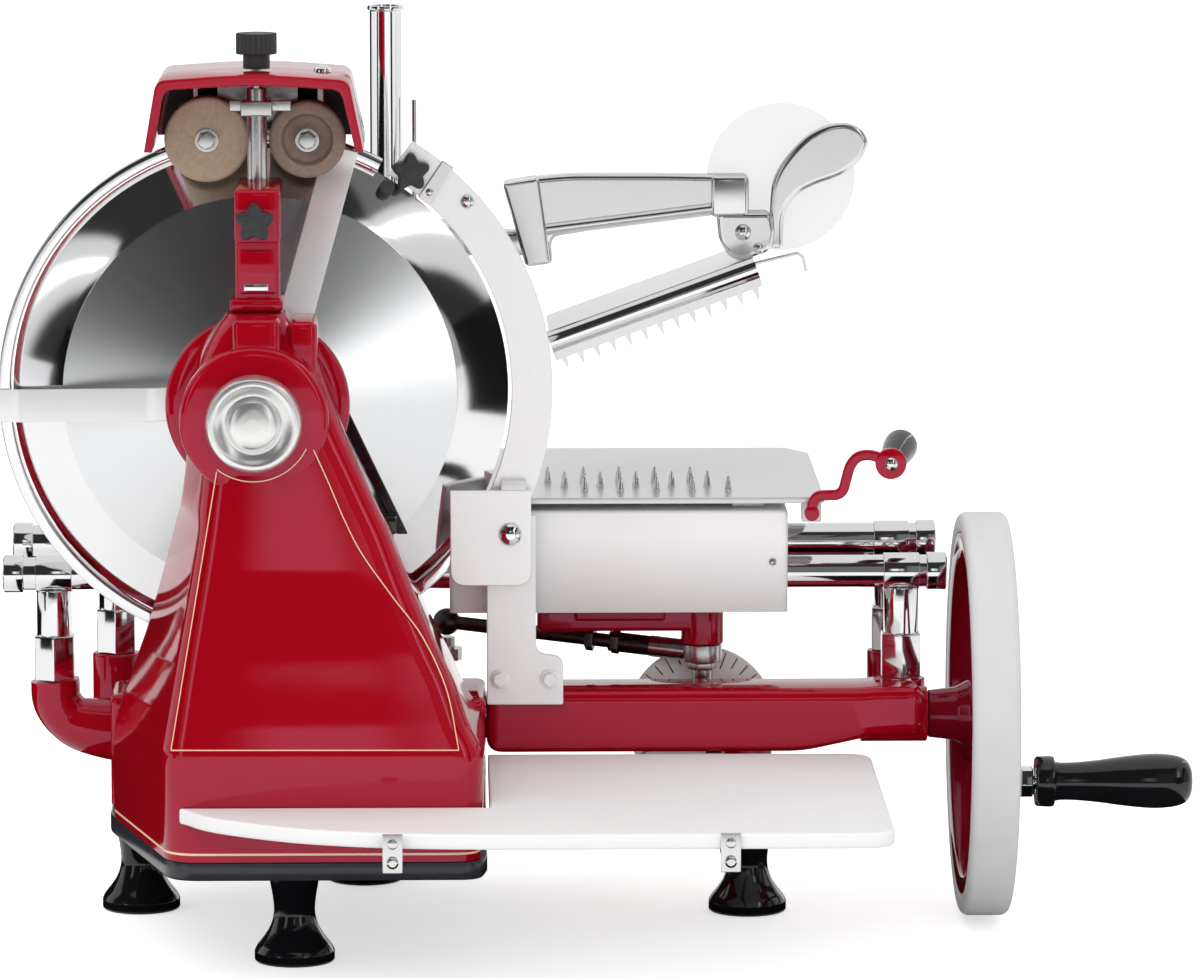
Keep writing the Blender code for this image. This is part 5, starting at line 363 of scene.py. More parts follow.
def box(low, high, ease=1.5):
    """A block with rounded edges: centre + s (half - r) + r d, for directions d with octant signs s."""
    low, high = np.asarray(low, float), np.asarray(high, float)
    middle, half = (low + high) / 2, (high - low) / 2
    r = min(ease, half.min() * 0.98)
    q = np.linspace(0, math.pi / 2, 5)
    lat = np.concatenate([q - math.pi / 2, q])
    lat_sign = np.repeat([-1, 1], 5)
    lon = np.concatenate([q + k * math.pi / 2 for k in range(4)])
    sx = np.repeat([1, -1, -1, 1], 5)
    sy = np.repeat([1, 1, -1, -1], 5)
    x = middle[0] + sx * (half[0] - r) + r * np.cos(lat)[:, None] * np.cos(lon)
    y = middle[1] + sy * (half[1] - r) + r * np.cos(lat)[:, None] * np.sin(lon)
    z = middle[2] + lat_sign * (half[2] - r) + r * np.sin(lat)
    return grid(np.stack([x, y, np.broadcast_to(z[:, None], x.shape)], -1))


def sweep(path, section, up=(0, 0, 1), scale=None):
    """P(i, j) = path(i) + a_j S(i) + b_j N(i), with S across the path and up, and N across both."""
    path = np.asarray(path, float)
    section = np.asarray(section, float)
    way = np.gradient(path, axis=0)
    way /= np.linalg.norm(way, axis=1, keepdims=True)
    side = np.cross(way, np.asarray(up, float))
    side /= np.linalg.norm(side, axis=1, keepdims=True)
    normal = np.cross(side, way)
    size = np.ones(len(path)) if scale is None else np.asarray(scale, float)
    a = section[:, 0][None, :, None] * size[:, None, None]
    b = section[:, 1][None, :, None] * size[:, None, None]
    return grid(path[:, None] + a * side[:, None] + b * normal[:, None])


def at_height(outline, z):
    """The outline's points (x, y), all at the height z."""
    return np.column_stack([outline, np.full(len(outline), z)])


def stretch(start, way, low=0.0, high=1.0, count=12):
    """A straight path: start + t way, with t even from low to high."""
    return start + np.linspace(low, high, count)[:, None] * way


def ring_of(radius, steps=28):
    """A circle: r (cos a, sin a)."""
    angle = np.linspace(0, math.tau, steps, endpoint=False)
    return np.stack([radius * np.cos(angle), radius * np.sin(angle)], 1)


def tube(path, radius, up=(0, 0, 1), scale=None):
    """A round section carried along a path."""
    return sweep(path, ring_of(radius), up, scale)


def rectangle(width, height, ease):
    """A rectangle's outline about its middle, with eased corners."""
    w, h = width / 2, height / 2
    return eased([(-w, -h), (w, -h), (w, h), (-w, h)], ease)


def regular(sides, across, centre=(0, 0), turn=0.0, ease=0.6):
    """A regular outline, with the stated width across its flats."""
    angle = turn + np.arange(sides) * math.tau / sides
    reach = across / 2 / math.cos(math.pi / sides)
    points = np.stack([np.cos(angle), np.sin(angle)], 1) * reach + np.asarray(centre, float)
    return eased(points, ease, 3)


def arc(centre, radius, start, end, steps):
    """Part of a circle: centre + r (cos a, sin a), with a from start to end in degrees."""
    angle = np.radians(np.linspace(start, end, steps))
    return np.stack([centre[0] + radius * np.cos(angle), centre[1] + radius * np.sin(angle)], 1)


def fit(name, body, finish, parts, nodes=(), crease=32):
    """One piece from closed surfaces, on its CAD body, in place of the named CAD nodes."""
    points = np.vstack([p for p, _ in parts]) * MM + ORIGIN
    starts = np.cumsum([0] + [len(p) for p, _ in parts[:-1]])
    faces = [[int(i + start) for i in face] for start, (_, some) in zip(starts, parts) for face in some]
    mesh = bpy.data.meshes.new(name)
    mesh.from_pydata(points.tolist(), [], faces)
    made = bmesh.new()
    made.from_mesh(mesh)
    bmesh.ops.remove_doubles(made, verts=made.verts, dist=1e-6)
    bmesh.ops.recalc_face_normals(made, faces=made.faces)
    made.to_mesh(mesh)
    made.free()
    corners = np.empty(len(mesh.polygons), np.int32)
    mesh.polygons.foreach_get("loop_total", corners)
    mesh.polygons.foreach_set("use_smooth", corners <= 4)
    mesh.set_sharp_from_angle(angle=math.radians(crease))
    mesh.materials.append(finish)
    piece = bpy.data.objects.new(name, mesh)
    bpy.context.scene.collection.objects.link(piece)
    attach(piece, body)
    if nodes:
        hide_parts(*nodes)
    return piece


# Base casting
# Each row: share of the height, then front, face left, face right, left, right and back shares
COLUMN_ROWS = np.array([
    (0.000, 1.000, 1.00, 0.970, 0.985, 0.985, 0.115),
    (0.122, 1.000, 1.02, 0.980, 1.000, 1.000, 0.115),
    (0.204, 1.000, 1.04, 0.985, 0.965, 1.000, 0.115),
    (0.238, 0.986, 1.00, 0.934, 0.920, 0.926, 0.126),
    (0.323, 0.966, 0.92, 0.868, 0.815, 0.838, 0.137),
    (0.383, 0.951, 0.86, 0.801, 0.741, 0.765, 0.149),
    (0.493, 0.9310, 0.74, 0.691, 0.635, 0.647, 0.171),
    (0.550, 0.9195, 0.68, 0.640, 0.583, 0.589, 0.199),
    (0.610, 0.897, 0.62, 0.585, 0.529, 0.529, 0.229),
    (0.632, 0.892, 0.60, 0.560, 0.519, 0.508, 0.480),
    (0.701, 0.874, 0.54, 0.485, 0.487, 0.441, 0.480),
    (0.773, 0.857, 0.54, 0.404, 0.466, 0.382, 0.480),
    (0.852, 0.834, 0.64, 0.324, 0.444, 0.324, 0.480),
    (0.921, 0.800, 0.60, 0.265, 0.381, 0.265, 0.480),
    (0.978, 0.754, 0.44, 0.176, 0.254, 0.176, 0.491),
    (1.000, 0.720, 0.30, 0.118, 0.169, 0.118, 0.514),
])
COLUMN_BOTTOM = 74.3
COLUMN_TOP = 392
BASE_FRONT, BASE_FACE_LEFT, BASE_RIGHT, BASE_LEFT = 175, 50, 136, 94.5
COLUMN_CORNER = 17


def column_shares(count=120):
    """The rows read at even heights, each share softened over its neighbours."""
    level = np.linspace(0, 1, count)
    table = np.stack([np.interp(level, COLUMN_ROWS[:, 0], COLUMN_ROWS[:, k]) for k in range(1, 7)], 1)
    kernel = np.array([1, 3, 6, 7, 6, 3, 1]) / 27
    padded = np.vstack([table[:1]] * 3 + [table] + [table[-1:]] * 3)
    soft = np.stack([np.convolve(padded[:, k], kernel, "valid") for k in range(6)], 1)
    return level, soft


COLUMN_LEVELS, COLUMN_SOFT = column_shares()


def front_at(height):
    """The Y of the column's front face at a height above the floor."""
    share = (np.asarray(height, float) - COLUMN_BOTTOM) / (COLUMN_TOP - COLUMN_BOTTOM)
    return -BASE_FRONT * np.interp(share, COLUMN_LEVELS, COLUMN_SOFT[:, 0])


def column():
    """P(height, s): the section's four corners at each height, eased by the corner radius."""
    rings = []
    for level, (front, face_left, face_right, left, right, back) in zip(COLUMN_LEVELS, COLUMN_SOFT):
        corners = [
            (-BASE_FACE_LEFT * face_left, -BASE_FRONT * front),
            (BASE_RIGHT * face_right, -BASE_FRONT * front),
            (BASE_RIGHT * right, -BASE_FRONT * back),
            (-BASE_LEFT * left, -BASE_FRONT * back),
        ]
        ring = eased(corners, COLUMN_CORNER, 8)
        z = COLUMN_BOTTOM + (COLUMN_TOP - COLUMN_BOTTOM) * level
        rings.append(at_height(ring, z))
    return grid(np.array(rings))


def make_base():
    """Column, gear case, hub, left arm, rear beam and bosses of the casting, then its cream lining."""
    left_arm = curve(
        [(-70, 40, 115), (-98, 40, 116.5), (-117.5, 40, 121.5), (-127.5, 40, 133), (-129, 40, 147)], 40,
    )
    gear_case = [(-34, 74.9), (167.8, 74.9), (167.8, 118), (46, 118), (46, 147), (-34, 147)]
    case_side = [(-14, 75.2), (167.5, 75.2), (167.5, 117.6), (45.6, 117.6), (45.6, 146.6), (-14, 146.6)]
    rear_beam = box((130.5, 128, 92), (407, 158, 120), 8)
    hub_neck = box((-12.5, -148, 340), (15.5, -84.5, 391.8), 4)
    hub_block = box((20, -137, 345), (36.8, -85, 389), 4)
    thinning = np.interp(np.arange(40), (0, 22, 39), (1.45, 1.0, 1.0))
    parts = [
        column(),
        slab(eased(gear_case, 7, 6), -76, 135.7, "X", 5),
        slab(eased(case_side, 7, 6), -92.6, -56, "X", 6),
        drum(44, -152.5, -84, HUB, "Y", FINE, 5),
        hub_neck,
        hub_block,
        tube(left_arm, 15, (0, 1, 0), thinning),
        drum(15, 85, 147, (POST_LEFT_REAR, REAR_ROD[0], 0), "Z", BAR, 1.5),
        rear_beam,
        drum(14.7, 95, 147, (POST_RIGHT, REAR_ROD[0], 0), "Z", BAR, 1.5),
        drum(13, 110, 148, (24.5, 100, 0), "Z", BAR, 1.5),
    ]
    fit("casting_shell", "frame", ENAMEL, parts, ["base_casting"], crease=40)

    stripe = rectangle(1.9, 0.6, 0.2)
    left_line = [(-22, 303), (-49.3, 141.3)]
    bottom_line = [(-49.3, 141.3), (119.3, 140.8)]
    right_line = curve([
        (34.8, 315.7), (44.2, 294.6), (53, 274), (63, 255), (80.6, 230.3), (98.2, 206.6), (112.2, 175.9),
        (119.3, 140.8),
    ], 60)
    top_line = arc((-0.5, 331.5), 34.5, 232, 334, 30)

    def lined(points, lift=0.1):
        """A stripe on the column's front: its Y is the face's own there, less the lift."""
        p = np.asarray(points, float)
        if len(p) == 2:
            p = p[0] + np.linspace(0, 1, 50)[:, None] * (p[1] - p[0])
        y = np.minimum(front_at(p[:, 1]), np.where(p[:, 1] > 288, -152.5, 0)) - lift
        return sweep(np.column_stack([p[:, 0], y, p[:, 1]]), stripe[:, ::-1], (0, 1, 0))

    strokes = [lined(left_line), lined(bottom_line), lined(right_line), lined(top_line, 0.2)]
    band_height = 79
    ring = eased([
        (-BASE_FACE_LEFT, -BASE_FRONT), (BASE_RIGHT * 0.97, -BASE_FRONT), (BASE_RIGHT * 0.985, -20.1),
        (-BASE_LEFT * 0.985, -20.1),
    ], COLUMN_CORNER, 8)
    ring = np.roll(ring, 5, 0)[:28]
    band = at_height(ring, band_height)
    strokes.append(sweep(band, rectangle(0.6, 1.4, 0.2), (0, 0, 1)))
    fit("lining_stripes", "frame", CREAM, strokes)


def make_plinth_and_feet():
    """The black foot plate, and the feet: one waisted profile turned at four places."""
    outline = [(-50, -175), (132, -175), (136, -150), (136, 168), (-94.5, 168), (-93.1, -20.1)]
    ring = eased(outline, (17, 12, 4, 8, 8, 12), 8)
    parts = [slab(ring, 63, 74, "Z", 1.5)]
    # The band's black carries a painted bluish reflection.
    fit("base_band", "frame", BAND_BLACK_WITH_REFLECTION, parts, ["base_plinth"])
    flare = [
        (15, 56.7), (14.5, 48), (13.1, 40), (12.3, 32), (12.9, 26), (15, 20), (18.5, 14.5), (22.2, 9.8),
        (24, 6.2),
    ]
    profile = [(0, 62.7), (15, 62.7), *map(tuple, curve(flare, 30)), (24, 1), (23, 0), (0, 0)]
    for name, (x, y) in FEET.items():
        fit(
            f"{name}_rubber", "frame", BLACK,
            [turned(profile, (x, y, 0), "Z", ROUND, 0.4)], [name],
        )


def make_posts_and_rods():
    """Posts with a six-sided foot and a clamp round the rod, and the two rods with their end rings."""
    posts = {
        "post_front_left": (POST_LEFT_FRONT, *FRONT_ROD), "post_front_right": (POST_RIGHT, *FRONT_ROD),
        "post_rear_left": (POST_LEFT_REAR, *REAR_ROD), "post_rear_right": (POST_RIGHT, *REAR_ROD),
    }
    for name, (x, y, height, radius) in posts.items():
        head = radius + 1.3
        parts = [
            slab(regular(6, 23.8, (x, y), math.pi / 6), 147.3, 175, "Z", 1.2),
            drum(10.7, 174, height - radius * 0.97, (x, y, 0), "Z", BAR, 0.8),
            sleeve(radius + GAP, head, -11, 11, (x, y, height), "X", BAR, 1),
        ]
        fit(f"{name}_bar", "frame", CHROME, parts, [name])
    for name, y, height, radius in (("front", *FRONT_ROD), ("rear", *REAR_ROD)):
        parts = [
            rod(radius, (-160, y, height), 580, "X", 0.8, BAR),
            sleeve(radius * 0.9, radius + 1.6, 0, 12, (-159.5, y, height), "X", BAR, 0.8),
            sleeve(radius * 0.9, radius + 1.6, 0, 12, (407.5, y, height), "X", BAR, 0.8),
        ]
        fit(f"{name}_rod_bar", "frame", CHROME, parts, [f"slide_rod_{name}"])


def make_front_beam():
    """The beam that carries the flywheel's bearing, a post, the right foot and the dial's pin."""
    outline = eased([
        (136.3, 107), (330, 107), (372, 116), (404, 118), (404.5, 147), (376, 147), (366, 146),
        (136.3, 146),
    ], 10, 6)
    parts = [
        slab(outline, -2, 46, "Y", 6),
        drum(15, 118, 146.6, (POST_RIGHT, FRONT_ROD[0], 0), "Z", BAR, 1),
        sleeve(6.5, 17, 366, 407.2, WHEEL, "X", BAR, 1.2),
        drum(15, 63, 126.5, (*FEET["foot_right"], 0), "Z", BAR, 1),
        rod(4, (DIAL[0], 40, DIAL[1]), 50, "Y"),
    ]
    fit("beam_shell", "frame", ENAMEL, parts, ["front_beam"], crease=40)


# Hub, blade and guard
def make_hub():
    """The red flange and the stepped chrome cap."""
    fit("hub_flange_shell", "frame", ENAMEL, [
        turned([(12, -83.7), (47, -83.7), (55, -79), (55, -66), (12, -66)], HUB, "Y", FINE, 3, closed=True),
    ], ["hub_flange"])
    cap = [
        (0, -152.8), (28.3, -152.8), (28.3, -164), (26.8, -169), (23.5, -169.6), (20.5, -167.2),
        (17.2, -165.5), (15.8, -166.2), (14, -169), (9.5, -170.6), (4, -171), (0, -171),
    ]
    fit("hub_cap_face", "frame", SATIN_CHROME, [turned(cap, HUB, "Y", FINE, 1.2)], ["hub_cap"])


def make_blade():
    """The turned blade, whose flat face has the brushed finish and whose rim has the ground one."""
    flat = [(11.5, -13.9), (119, -13.9)]
    bevel = [(119, -13.9), (123.5, -11), (150, -0.5), (149, 0), (99, -4.8), (11.5, -4.8)]
    face = eased(flat + [bevel[1]], 0.4, 3, closed=False)
    profile = np.vstack([face, bevel[2:]])
    blade = fit(
        "blade_disc", "blade_set", BEVEL, [turned(profile, HUB, "Y", 240, closed=True)],
        ["blade"], crease=20,
    )
    blade.data.materials.append(BRUSHED)
    count = len(blade.data.polygons)
    centres = np.empty(count * 3)
    normals = np.empty(count * 3)
    blade.data.polygons.foreach_get("center", centres)
    blade.data.polygons.foreach_get("normal", normals)
    centres = (centres.reshape(-1, 3) - ORIGIN) / MM - HUB
    flat_face = (np.hypot(centres[:, 0], centres[:, 2]) < 119.5) & (normals.reshape(-1, 3)[:, 1] < -0.9)
    blade.data.polygons.foreach_set("material_index", flat_face.astype(np.int32))
    blade.data.update()
    fit("blade_shaft_bar", "blade_set", STEEL, [
        turned(
            [(0, -146.5), (11, -146.5), (11, -62), (30, -62), (30, -14.3), (11, -14.3), (11, -1), (0, -1)],
            HUB, "Y", ROUND, 0.8,
        ),
    ], ["blade_shaft"])


def make_guard():
    """The chrome hoop round the blade with its foot, the flat strap and the slanted brace."""
    corner = 1.8
    section = eased([(150.8, -8), (158.5, -8), (158.5, 5), (150.8, 5)], corner, 4)
    angle = np.radians(np.linspace(62, 326, 200))
    r, y = section[:, 0], section[:, 1]
    points = np.stack([
        r * np.cos(angle)[:, None],
        np.broadcast_to(y, (len(angle), len(y))),
        AXIS + r * np.sin(angle)[:, None],
    ], -1)
    parts = [grid(points), box((-12, -5, 147.3), (12, 4.7, 176.5), 1.5)]
    fit("guard_hoop", "frame", CHROME, parts, ["ring_guard"])
    bar = rectangle(3, 20, 0.6)
    strap = eased(
        [(-158.5, -9.8, 323.5), (-147.8, -9.8, 323.5), (-61, -64.2, 331), (-44, -64.2, 332)], 12, 8,
        closed=False,
    )
    fit("guard_strap_bar", "frame", SATIN, [sweep(strap, bar)], ["guard_strap"])
    foot, top = np.array([18, -64.2, 366]), np.array([50, -9.8, 479.4])
    way = np.array([top[0] - foot[0], 0, top[2] - foot[2]])
    rise = np.array([0, top[1] - foot[1], 0])
    brace = eased([foot, foot + way * 0.14, foot + way * 0.88 + rise, top], 12, 8, closed=False)
    across = np.array([way[2], 0, -way[0]]) / math.hypot(way[0], way[2])
    fit("ring_brace_bar", "frame", SATIN, [sweep(brace, bar, across)], ["ring_brace"])


def star_outline(centre, radius=11.7, lobes=5):
    """Radius 1 - w + w cos(5 a): five round lobes."""
    angle = np.linspace(0, math.tau, 150, endpoint=False)
    reach = radius * (0.84 + 0.16 * np.cos(lobes * (angle - math.pi / 2)))
    return np.stack([centre[0] + reach * np.cos(angle), centre[1] + reach * np.sin(angle)], 1)


def star_knob(centre, front, shank, depth=9):
    """A lobed slab, with a round boss before it and its screw's shank behind."""
    x, z = centre
    return [
        slab(star_outline(centre), front, front + depth, "Y", 2),
        rod(4.5, (x, front - 0.4, z), 3, "Y", 0.6, TINY),
        rod(2.5, (x, front + depth / 2, z), depth / 2 + shank, "Y", 0.4, PIN),
    ]


def domed(x, y, z, radius, shank=3):
    """A domed screw head that stands out to -Y."""
    h = radius * 0.75
    return turned([
        (0, shank), (radius * 0.5, shank), (radius * 0.5, 0), (radius, 0), (radius, -h * 0.3),
        (radius * 0.8, -h * 0.62), (radius * 0.45, -h * 0.92), (0, -h),
    ], (x, y, z), "Y", SMALL, 0.6)


def make_gauge():
    """The curved plate and its tab, clip and screws, the bracket, the dome nut and the star knob."""
    plate = np.vstack([
        arc((0, AXIS), 177, -25, 58.5, 60),
        arc((0, AXIS), 152, 59.5, -25, 60),
    ])
    tab = eased([(114.5, 213), (163.7, 213), (163.7, 271.5), (114.5, 271.5)], (10, 10, 0.5, 0.5), 8)
    parts = [
        slab(plate, -3, -0.3, "Y", 0.6),
        slab(tab, -14.6, -11.6, "Y", 0.6),
        box((145, -13.1, 261.5), (160.7, -1.5, 276.5), 1),
        rod(7, (151, -13.1, 244.6), 7.5, "Y"),
    ]
    fit("gauge_sheet", "gauge", POLISHED, parts, ["gauge_plate"])
    middle, along, across = np.array([106.6, 458]), np.array([-0.56, -0.83]), np.array([0.83, -0.56])
    clip = [
        middle + along * a + across * b
        for a, b in ((-13.5, -4.2), (-13.5, 4.2), (13.5, 4.2), (13.5, -4.2))
    ]
    trims = [
        slab(eased(clip, 1.2), -5, -2.7, "Y", 0.5),
        domed(125.4, -3, 446.4, 4.2, 1),
        domed(*(middle[0] + along[0] * 7, -5, middle[1] + along[1] * 7), 2.4, 1),
    ]
    fit("gauge_trims", "gauge", CAST, trims)
    fit("gauge_stop_knob", "gauge", GREY, [rod(4.5, (77.4, -11.2, 455.6), 8.5, "Y", 1)])
    foot = eased(
        [(136.6, 138), (183.2, 138), (183.2, 169), (166.6, 169), (166.6, 255), (136.6, 255)],
        (1.5, 1.5, 8, 8, 1.5, 1.5), 6,
    )
    parts = [
        slab(foot, -5.3, -2.3, "Y", 0.6),
        box((139.6, -3.8, 146.3), (180.2, 14, 161), 1),
    ]
    for x in (144.5, 175):
        parts += [
            rod(6, (x, -6.3, 154), 1.5, "Y", 0.4), slab(regular(6, 8, (x, 154), 0.4), -9.6, -6, "Y", 0.8),
        ]
    fit("gauge_bracket_sheet", "gauge", SATIN, parts, ["gauge_bracket"])
    fit("gauge_nut_dome", "gauge", CHROME, [domed(151, -14.9, 244.6, 7, 12)], ["gauge_nut"])
    fit(
        "gauge_star", "gauge_lock", GREY, star_knob((91.4, 464.7), -12.3, 3),
        ["gauge_star_knob"],
    )


def make_deflector():
    """The slanted black strip before the blade, with its foot."""
    outline = eased([(35, 344), (82, 246), (89, 246), (42.5, 344)], 1, 3)
    parts = [slab(outline, -21.5, -18.5, "Y", 0.6), box((66.5, -34, 247.8), (82.1, -20, 258), 1)]
    fit("deflector_strip", "frame", BLACK, parts, ["slice_deflector"])


# Upper arm and sharpener
SHARP_Y = -48


def make_upper_arm():
    """The red arm over the hub, its plug and its star knob."""
    stem = box((-11.6, -111.2, 392.6), (14.6, -84.4, 460), 3)
    head = box((-12, -112, 432), (15, -30, 464.2), 3)
    foot = box((-15, -115, 392.3), (16.5, -82.5, 400), 2.5)
    panel = box((-9.5, -113.8, 403), (12.5, -110, 429), 1.5)
    fit("arm_casting", "frame", ENAMEL, [stem, head, foot, panel], ["upper_arm"])
    fit("arm_plug", "frame", CHROME, [box((-6.5, -114.5, 404.5), (8, -112.5, 409), 0.8)])
    fit("arm_star", "arm_lock", GREY, star_knob((0, 445.5), -121.3, 58), ["arm_star_knob"])


def make_sharpener():
    """Hood with a near-black sheet inside as painted shade, frame with two spindles, two stones and the
    ridged knob on top.
    """
    outer = [(-66.2, 483.5), (-58.8, 526.2), (0.0, 530.3), (55.3, 526.2), (64, 483.5)]
    inner = [(59.2, 483.5), (50.5, 520.4), (0.0, 523.6), (-54, 520.4), (-61.4, 483.5)]
    hood = eased(outer + inner, (0.8, 6, 50, 6, 0.8) * 2, 6)
    back = eased([(-66, 484.5), (-58.5, 523), (54.5, 523), (62, 484.5)], 4, 4)
    screw = [(0, 0), (5.5, 0), (5, 2.2), (2.5, 4), (0, 4.2)]
    cover = fit(
        "sharpener_hood", "sharpener", ENAMEL,
        [slab(hood, -80, 30, "Y", 1.2), slab(back, 23.6, 29.8, "Y", 1)], ["sharpener_cover"],
    )
    fit("hood_screw", "sharpener", CHROME, [turned(screw, (39, -30, 527.2), "Z", SMALL, 0.6)])
    # A thin near-black sheet just before the hood's back wall: painted shade for the hood's shaded inside.
    lining = eased([(-60.4, 485), (-53, 520), (49, 520), (56.4, 485)], 3, 4)
    fit("hood_painted_shade", "sharpener", HOOD_SHADE, [slab(lining, 23.2, 23.5, "Y", 0.1)])

    parts = [
        box((-40, -15.3, 496), (40, 23, 519), 1.5),
        box((-16.5, -46, 505), (20.5, -42, 511.5), 0.8),
        turned([(0, 0), (2.2, 0), (2.2, -1.4), (0, -1.8)], (8.5, -46, 508.3), "Y", TINY, 0.3),
        box((-9.5, -57.6, 503), (9.5, -10.5, 512), 1),
        rod(6, (0, SHARP_Y, 432.3), 86.8, "Z", 0.6),
        rod(3, (0, SHARP_Y, 503), 33, "Z", 0.6, TINY),
    ]
    for x in STONES:
        parts += [
            box((x - 7, -15.3, 482.2), (x + 7, -8.9, 518.5), 1),
            rod(4.5, (x, -43.1, STONE_HEIGHT), 34, "Y", 0.6, TINY),
            slab(regular(6, 9.8, (x, STONE_HEIGHT), 0.3), -41.3, -37.1, "Y", 0.8),
            sleeve(4.6, 7.2, -37.5, -36.6, (x, 0, STONE_HEIGHT), "Y", SMALL, 0.2),
        ]
    fit("sharpener_frame", "sharpener", STEEL, parts, ["sharpener_body"])
    bore = 4.8
    disc = [(bore, 20), (24, 20), (25.5, 18.5), (25.5, 1.5), (24, 0), (bore, 0)]
    cup = [(bore, 20), (21.5, 20), (23, 18.5), (23, 1.5), (21.5, 0), (15.6, 0), (14, 7), (bore, 7)]
    fit(
        "honing_disc", "honing_stone", GRIT,
        [turned(disc, (STONES[0], -36.5, STONE_HEIGHT), "Y", ROUND, 0.8, closed=True)], ["stone_left"],
    )
    fit(
        "truing_cup", "truing_stone", GRIT_GREY,
        [turned(cup, (STONES[1], -36.5, STONE_HEIGHT), "Y", ROUND, 0.8, closed=True)], ["stone_right"],
    )

    angle = np.linspace(0, math.tau, 192, endpoint=False)
    reach = 12.2 - 0.5 * (np.cos(24 * angle) > 0.55)
    ridged = np.stack([reach * np.cos(angle), SHARP_Y + reach * np.sin(angle)], 1)
    parts = [slab(ridged, 539.6, 552, "Z", 1.4), sleeve(3.2, 8, 530.8, 540, (0, SHARP_Y, 0), "Z", BAR, 0.5)]
    fit("sharpener_cap", "sharpener_top", GREY, parts, ["sharpener_knob"])


# Carriage, crank and rod
def make_carriage():
    """The box, whose rings draw in by 1 - cos a at its top edge, the casting, link pin and rod."""
    outline = eased([(114, 12), (321, 12), (321, 205), (114, 205)], 4, 6)
    a = np.linspace(0, math.pi / 2, 6)
    inset = np.concatenate([[0], 2.5 * (1 - np.cos(a))])
    level = np.concatenate([[192], 255 - 2.5 + 2.5 * np.sin(a)])
    middle = np.array([217.5, 108.5])
    half = np.array([103.5, 96.5])
    rings = [
        at_height(middle + (outline - middle) * (1 - d / half), z)
        for d, z in zip(inset, level)
    ]
    points, faces = grid(np.array(rings), caps=False)
    m = len(outline)
    faces.append(list(range((len(rings) - 1) * m, len(rings) * m)))
    skin = fit(
        "carriage_skin", "carriage", PALE, [(points, faces)], ["carriage_box"], crease=50,
    )
    wall = skin.modifiers.new("wall", "SOLIDIFY")
    wall.thickness = 2.8 * MM
    wall.offset = -1
    fit("box_screw", "carriage", STEEL, [domed(311.6, 12, 223.2, 2.4)])
    parts = [
        box((168, 49, 174), (270.3, 71, 190), 3),
        drum(13.2, 165.5, 190, (*LINK, 0), "Z", BAR, 1),
        box((190, 48, 180), (248, 65, 249), 3),
        box((190.4, 48.4, 232), (247.6, 140, 248.6), 3),
    ]
    for (y, z, radius), r in ((FRONT_ROD, 14), (REAR_ROD, 18)):
        parts.append(sleeve(radius + GAP, r, 126, 309, (0, y, z), "X", SMALL, 1))
    fit("carriage_bearing_casting", "carriage", ENAMEL, parts, ["carriage_casting"])
    parts = [
        rod(4.5, (*LINK, 136.5), 40, "Z", 0.5, 40),
        slab(regular(6, 16, LINK, 0.2), 149, 153.5, "Z", 0.8),
        drum(6.6, 136.5, 149, (*LINK, 0), "Z", SMALL, 0.6),
    ]
    fit("link_pin_bar", "carriage", STEEL, parts, ["link_pin"])

    start, end = np.array([*LINK, 159.45]), np.array([112, 100, 172.5])
    way = end - start
    fit("rod_eye", "rod", STEEL, [
        sleeve(4.9, 12.3, 153.7, 165.2, (*LINK, 0), "Z", BAR, 1.2),
        tube(stretch(start, way, 0.065, 0.2, 6), 6.6),
    ])
    parts = [
        tube(stretch(start, way, 0.065, 0.36, 12), 6.2),
        tube(stretch(start, way, 0.3, 1.0, 12), 4.3),
    ]
    for share in (0.32, 0.42):
        parts.append(drum(7.5, 0, 5, start + way * share, way, 6, 0.6))
    fit("connecting_rod_bar", "rod", DARK_STEEL, parts, ["connecting_rod"])
    ball, latitude = 8.5, np.linspace(-1.45, 1.45, 20)
    profile = np.stack([np.cos(latitude), np.sin(latitude)], 1) * ball
    profile = np.vstack([[(0, -ball)], profile, [(0, ball)]])
    fit("rod_ball", "rod", DARK_STEEL, [turned(profile, end, "Z", SMALL)])


def make_table():
    """The table's sheet with its rails and lug, and three rows of spikes."""
    outline = eased([(50, 6), (343, 6), (343, 205), (328.7, 230), (50, 230)], (4, 6, 4, 4, 4), 5)
    parts = [slab(outline, 260, 264, "Z", 0.7)]
    parts += [box((x - 10, 24, 255.3), (x + 10, 193, 261), 1) for x in (138, 297)]
    parts += [box((329, 6.3, 248.5), (341, 18, 261), 1)]
    fit("table_sheet", "table", TABLE, parts, ["product_table"])
    spikes = []
    profile = [(0, -1), (2.4, -1), (2.3, 2), (1.7, 6), (0.8, 9.7), (0, 10.8)]
    for x0, y in ((175, 70), (185, 50), (197, 28)):
        spikes += [turned(profile, (x0 + 22 * k, y, 264), "Z", 20, 0.3) for k in range(5)]
    fit("table_spikes", "table", CHROME, spikes)


